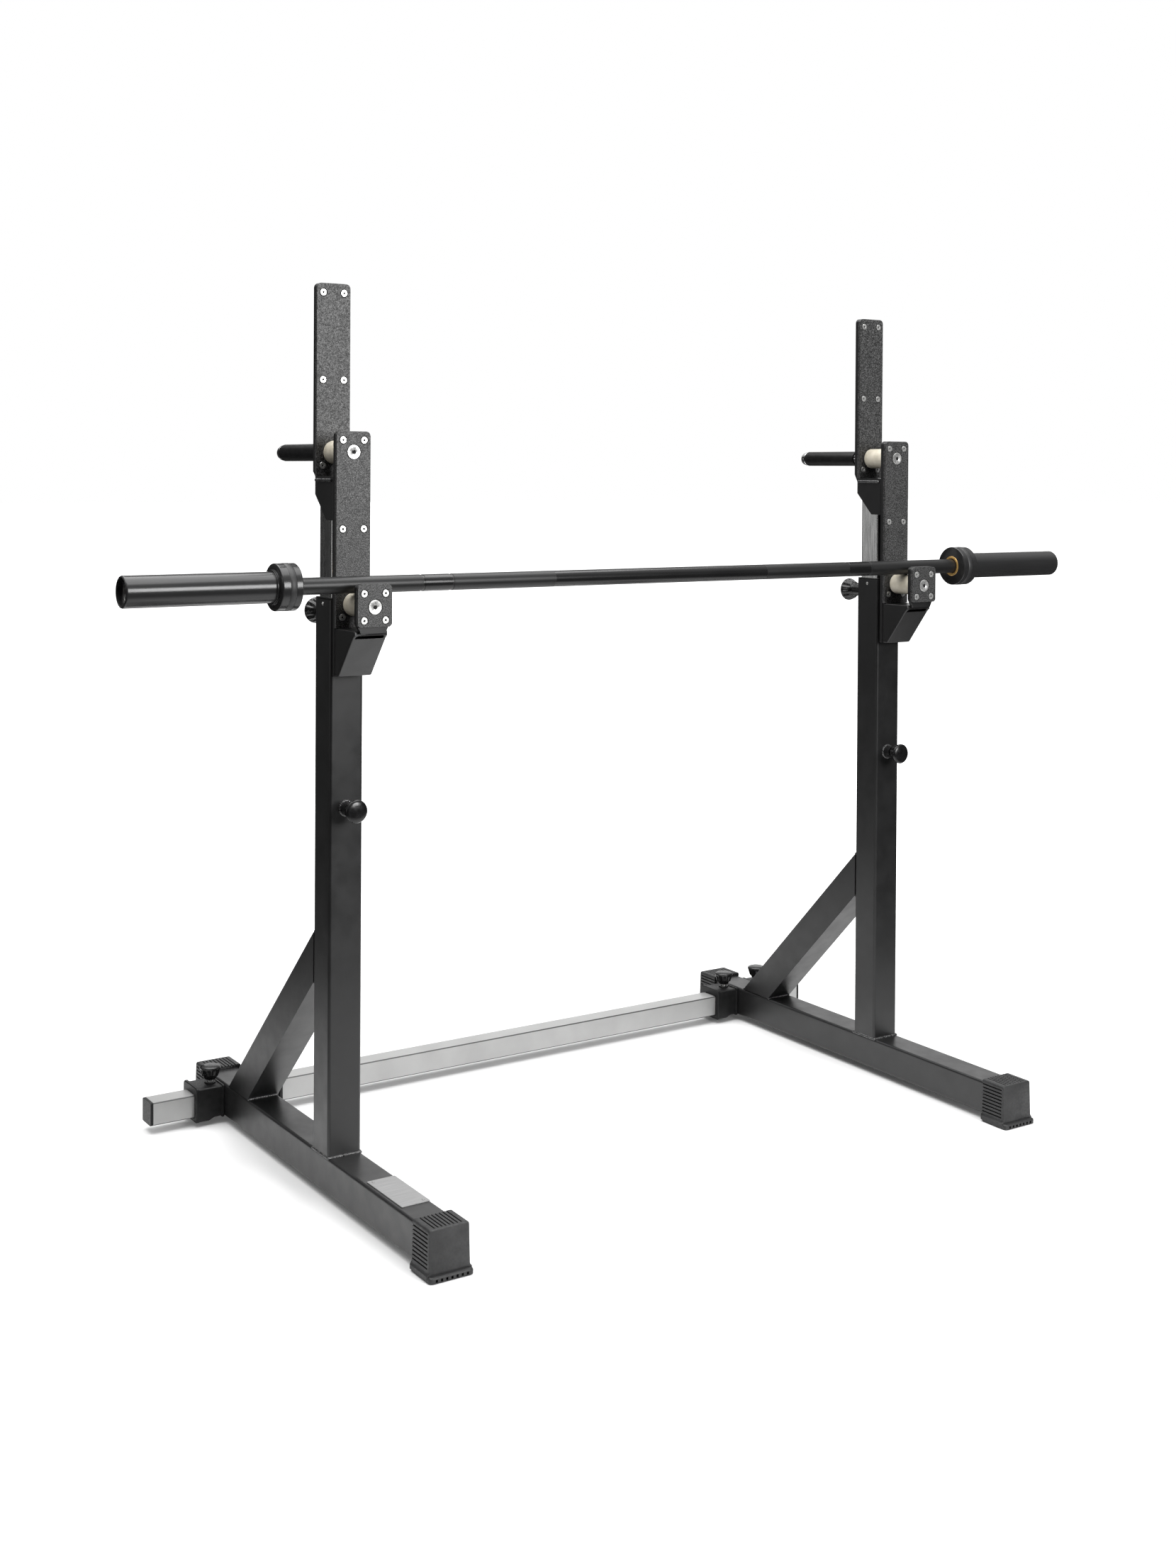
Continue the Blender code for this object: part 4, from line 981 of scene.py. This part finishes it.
# Barbell shaft.
# Ground steel bar, knurled where it is held and smooth in the middle and at the rings that mark
# a grip, and blacked all over.
shaft_black = new_finish("shaft_black", (0.007, 0.007, 0.0072), 0.28, specular=0.4)
shade_between(
    shaft_black, grain(shaft_black, 0.03, 3, (4, 1, 1)), (0.006, 0.006, 0.0062), (0.009, 0.009, 0.0092)
)
shaft_low, shaft_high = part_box("barbell_shaft")
shaft_y = (shaft_low.y + shaft_high.y) / 2
shaft_z = (shaft_low.z + shaft_high.z) / 2
SHAFT_RADIUS = (shaft_high.z - shaft_low.z) / 2
RING_MARKS = (0.436, 0.491)
SMOOTH_MIDDLE = 0.233
KNURL_STARTS = 36
KNURL_TWIST = 2600
profile = []
for x in sorted([-mark for mark in RING_MARKS] + list(RING_MARKS)):
    profile += [
        (x - 0.0030, SHAFT_RADIUS), (x - 0.0026, SHAFT_RADIUS - 0.0005),
        (x + 0.0026, SHAFT_RADIUS - 0.0005), (x + 0.0030, SHAFT_RADIUS),
    ]
reach = shaft_high.x
profile = [(-reach, SHAFT_RADIUS - 0.0012), (-reach + 0.0012, SHAFT_RADIUS)] + profile
profile += [(reach - 0.0012, SHAFT_RADIUS), (reach, SHAFT_RADIUS - 0.0012)]
bm = bmesh.new()
turn(bm, (0, shaft_y, shaft_z), (1, 0, 0), profile, segments=64)
shaft = add_piece("bar_shaft", bm, shaft_black, "barbell")
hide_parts("barbell_shaft")


def knurl(material, centre_y, centre_z):
    """Diamonds cut by two crossed helices, left out of the middle and between the ring marks."""
    tree = material.node_tree
    place = tree.nodes.new("ShaderNodeTexCoord")
    split = tree.nodes.new("ShaderNodeSeparateXYZ")
    tree.links.new(place.outputs["Object"], split.inputs[0])

    def maths(operation, first, second=None):
        """Work out one value from one or two others."""
        node = tree.nodes.new("ShaderNodeMath")
        node.operation = operation
        for slot, value in enumerate((first, second)):
            if isinstance(value, (int, float)):
                node.inputs[slot].default_value = value
            elif value is not None:
                tree.links.new(value, node.inputs[slot])
        return node.outputs[0]

    across = maths("SUBTRACT", split.outputs["Y"], centre_y)
    upward = maths("SUBTRACT", split.outputs["Z"], centre_z)
    turned = maths("MULTIPLY", maths("ARCTAN2", upward, across), KNURL_STARTS)
    along = maths("MULTIPLY", split.outputs["X"], KNURL_TWIST)
    one = maths("ABSOLUTE", maths("SINE", maths("ADD", turned, along)))
    other = maths("ABSOLUTE", maths("SINE", maths("SUBTRACT", turned, along)))
    diamonds = maths("MINIMUM", one, other)
    distance = maths("ABSOLUTE", split.outputs["X"])
    beyond = maths("GREATER_THAN", distance, SMOOTH_MIDDLE)
    past_first = maths("GREATER_THAN", distance, RING_MARKS[0])
    before_second = maths("LESS_THAN", distance, RING_MARKS[1])
    cut = maths("SUBTRACT", beyond, maths("MULTIPLY", past_first, before_second))
    emboss(material, maths("MULTIPLY", diamonds, cut), 0.0001, 0.12)
    shade_between(material, cut, 0.22, 0.4, 0, 1, socket="Roughness")


knurl(shaft_black, shaft_y, shaft_z)


# Barbell sleeves.
# Turned in one piece with their collars and blackened to a soft shine, with a matt band let into
# each collar, a bronze bushing inboard, and a washer and a snap ring in the hollow end. Each
# profile below gives its distances from the middle of the bar.
sleeve_black = new_finish("sleeve_black", (0.026, 0.026, 0.0265), 0.22, metallic=0.2, specular=0.38)
shade_between(
    sleeve_black, grain(sleeve_black, 0.01, 4, (12, 1, 1)), (0.024, 0.024, 0.0245), (0.028, 0.028, 0.0285)
)
shade_between(sleeve_black, grain(sleeve_black, 0.02, 2), 0.2, 0.23, socket="Roughness")
emboss(sleeve_black, grain(sleeve_black, 0.0006, 1, (1, 14, 14)), 0.000001, 0.1)
band_black = new_finish("band_black", (0.02, 0.02, 0.0205), 0.5)
shade_between(band_black, grain(band_black, 0.01, 3), (0.016, 0.016, 0.0165), (0.026, 0.026, 0.0265))
emboss(band_black, grain(band_black, 0.0008, 2), 0.00003, 0.5)
bronze = new_finish("bronze", (0.72, 0.44, 0.14), 0.3, metallic=0.6)
shade_between(bronze, grain(bronze, 0.004, 4), (0.62, 0.37, 0.11), (0.82, 0.52, 0.19))
emboss(bronze, grain(bronze, 0.0007, 2), 0.00003, 0.5)
BAND_START, BAND_END = 0.7285, 0.7395
COLLAR_RADIUS = 0.0380
BAND_SEAT = 0.0370
SLEEVE_RADIUS = 0.0250
SNAP_STEPS = 56
SNAP_START = 0.56
SNAP_ARC = 0.88
SNAP_EAR = 0.0014
SNAP_INNER = 0.0178
SNAP_OUTER = 0.0207
SNAP_NEAR, SNAP_FAR = 0.9885, 0.9902
for side, facing in SIDES.items():
    body = f"{side}_barbell_sleeve"
    centre = (0, shaft_y, shaft_z)
    along = (facing, 0, 0)
    inboard_face = [(0.7215, 0.0147), (0.7215, 0.0197), (0.7172, 0.0197), (0.7172, 0.0352)]
    collar = [
        (0.7180, 0.0372), (0.7192, COLLAR_RADIUS), (BAND_START, COLLAR_RADIUS), (BAND_START, BAND_SEAT),
        (BAND_END, BAND_SEAT), (BAND_END, COLLAR_RADIUS), (0.7505, COLLAR_RADIUS),
        (0.7510, COLLAR_RADIUS), (0.7522, 0.0375), (0.7532, 0.0360), (0.7538, 0.0330), (0.7538, 0.0285),
    ]
    shoulder = [(0.7544, 0.0280), (0.7570, 0.0280), (0.7576, 0.0275), (0.7576, 0.0252)]
    barrel = [
        (0.7582, SLEEVE_RADIUS), (0.7588, SLEEVE_RADIUS), (0.9970, SLEEVE_RADIUS),
        (0.9976, SLEEVE_RADIUS), (0.9992, 0.0243), (1.0, 0.0232), (1.0, 0.0222),
    ]
    bore = [(0.9990, 0.0212), (0.9860, 0.0210), (0.9860, 0.0147)]
    profile = inboard_face + collar + shoulder + barrel + bore
    bm = bmesh.new()
    turn(bm, centre, along, profile, segments=96, bored=True)
    sleeve = add_piece(f"{side}_bar_sleeve", bm, sleeve_black, body, sharp=32)
    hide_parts(f"{side}_barbell_sleeve")
    bm = bmesh.new()
    band = [
        (BAND_START + 0.0002, 0.0371), (BAND_START + 0.0002, 0.0379), (BAND_START + 0.0006, 0.0382),
        (BAND_END - 0.0006, 0.0382), (BAND_END - 0.0002, 0.0379), (BAND_END - 0.0002, 0.0371),
    ]
    turn(bm, centre, along, band, segments=96, bored=True)
    add_piece(f"{side}_bar_collar_band", bm, band_black, body, sharp=40)
    bm = bmesh.new()
    bushing = [
        (0.7212, 0.0146), (0.7174, 0.0146), (0.7164, 0.0152), (0.7162, 0.0168), (0.7166, 0.0190),
        (0.7172, 0.0196), (0.7212, 0.0196),
    ]
    turn(bm, centre, along, bushing, segments=64, bored=True)
    add_piece(f"{side}_bar_bushing", bm, bronze, body, sharp=40)
    bm = bmesh.new()
    rings = []
    for step in range(SNAP_STEPS + 1):
        angle = math.tau * (SNAP_START + SNAP_ARC * step / SNAP_STEPS)
        outward = Vector((0, math.cos(angle), math.sin(angle)))
        inner = SNAP_INNER - (SNAP_EAR if min(step, SNAP_STEPS - step) < 2 else 0)
        ring = []
        for radius, x in (
            (inner, SNAP_NEAR), (SNAP_OUTER, SNAP_NEAR), (SNAP_OUTER, SNAP_FAR), (inner, SNAP_FAR)
        ):
            ring.append(Vector(centre) + outward * radius + Vector((facing * x, 0, 0)))
        rings.append(ring)
    loft(bm, rings)
    add_piece(f"{side}_bar_snap_ring", bm, stud_zinc, body, sharp=30)
    bm = bmesh.new()
    washer = [(0.9864, 0.0150), (0.9864, 0.0205), (0.9878, 0.0205), (0.9880, 0.0203), (0.9880, 0.0150)]
    turn(bm, centre, along, washer, segments=48, bored=True)
    add_piece(f"{side}_bar_end_washer", bm, stud_zinc, body, sharp=30)


low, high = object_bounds()
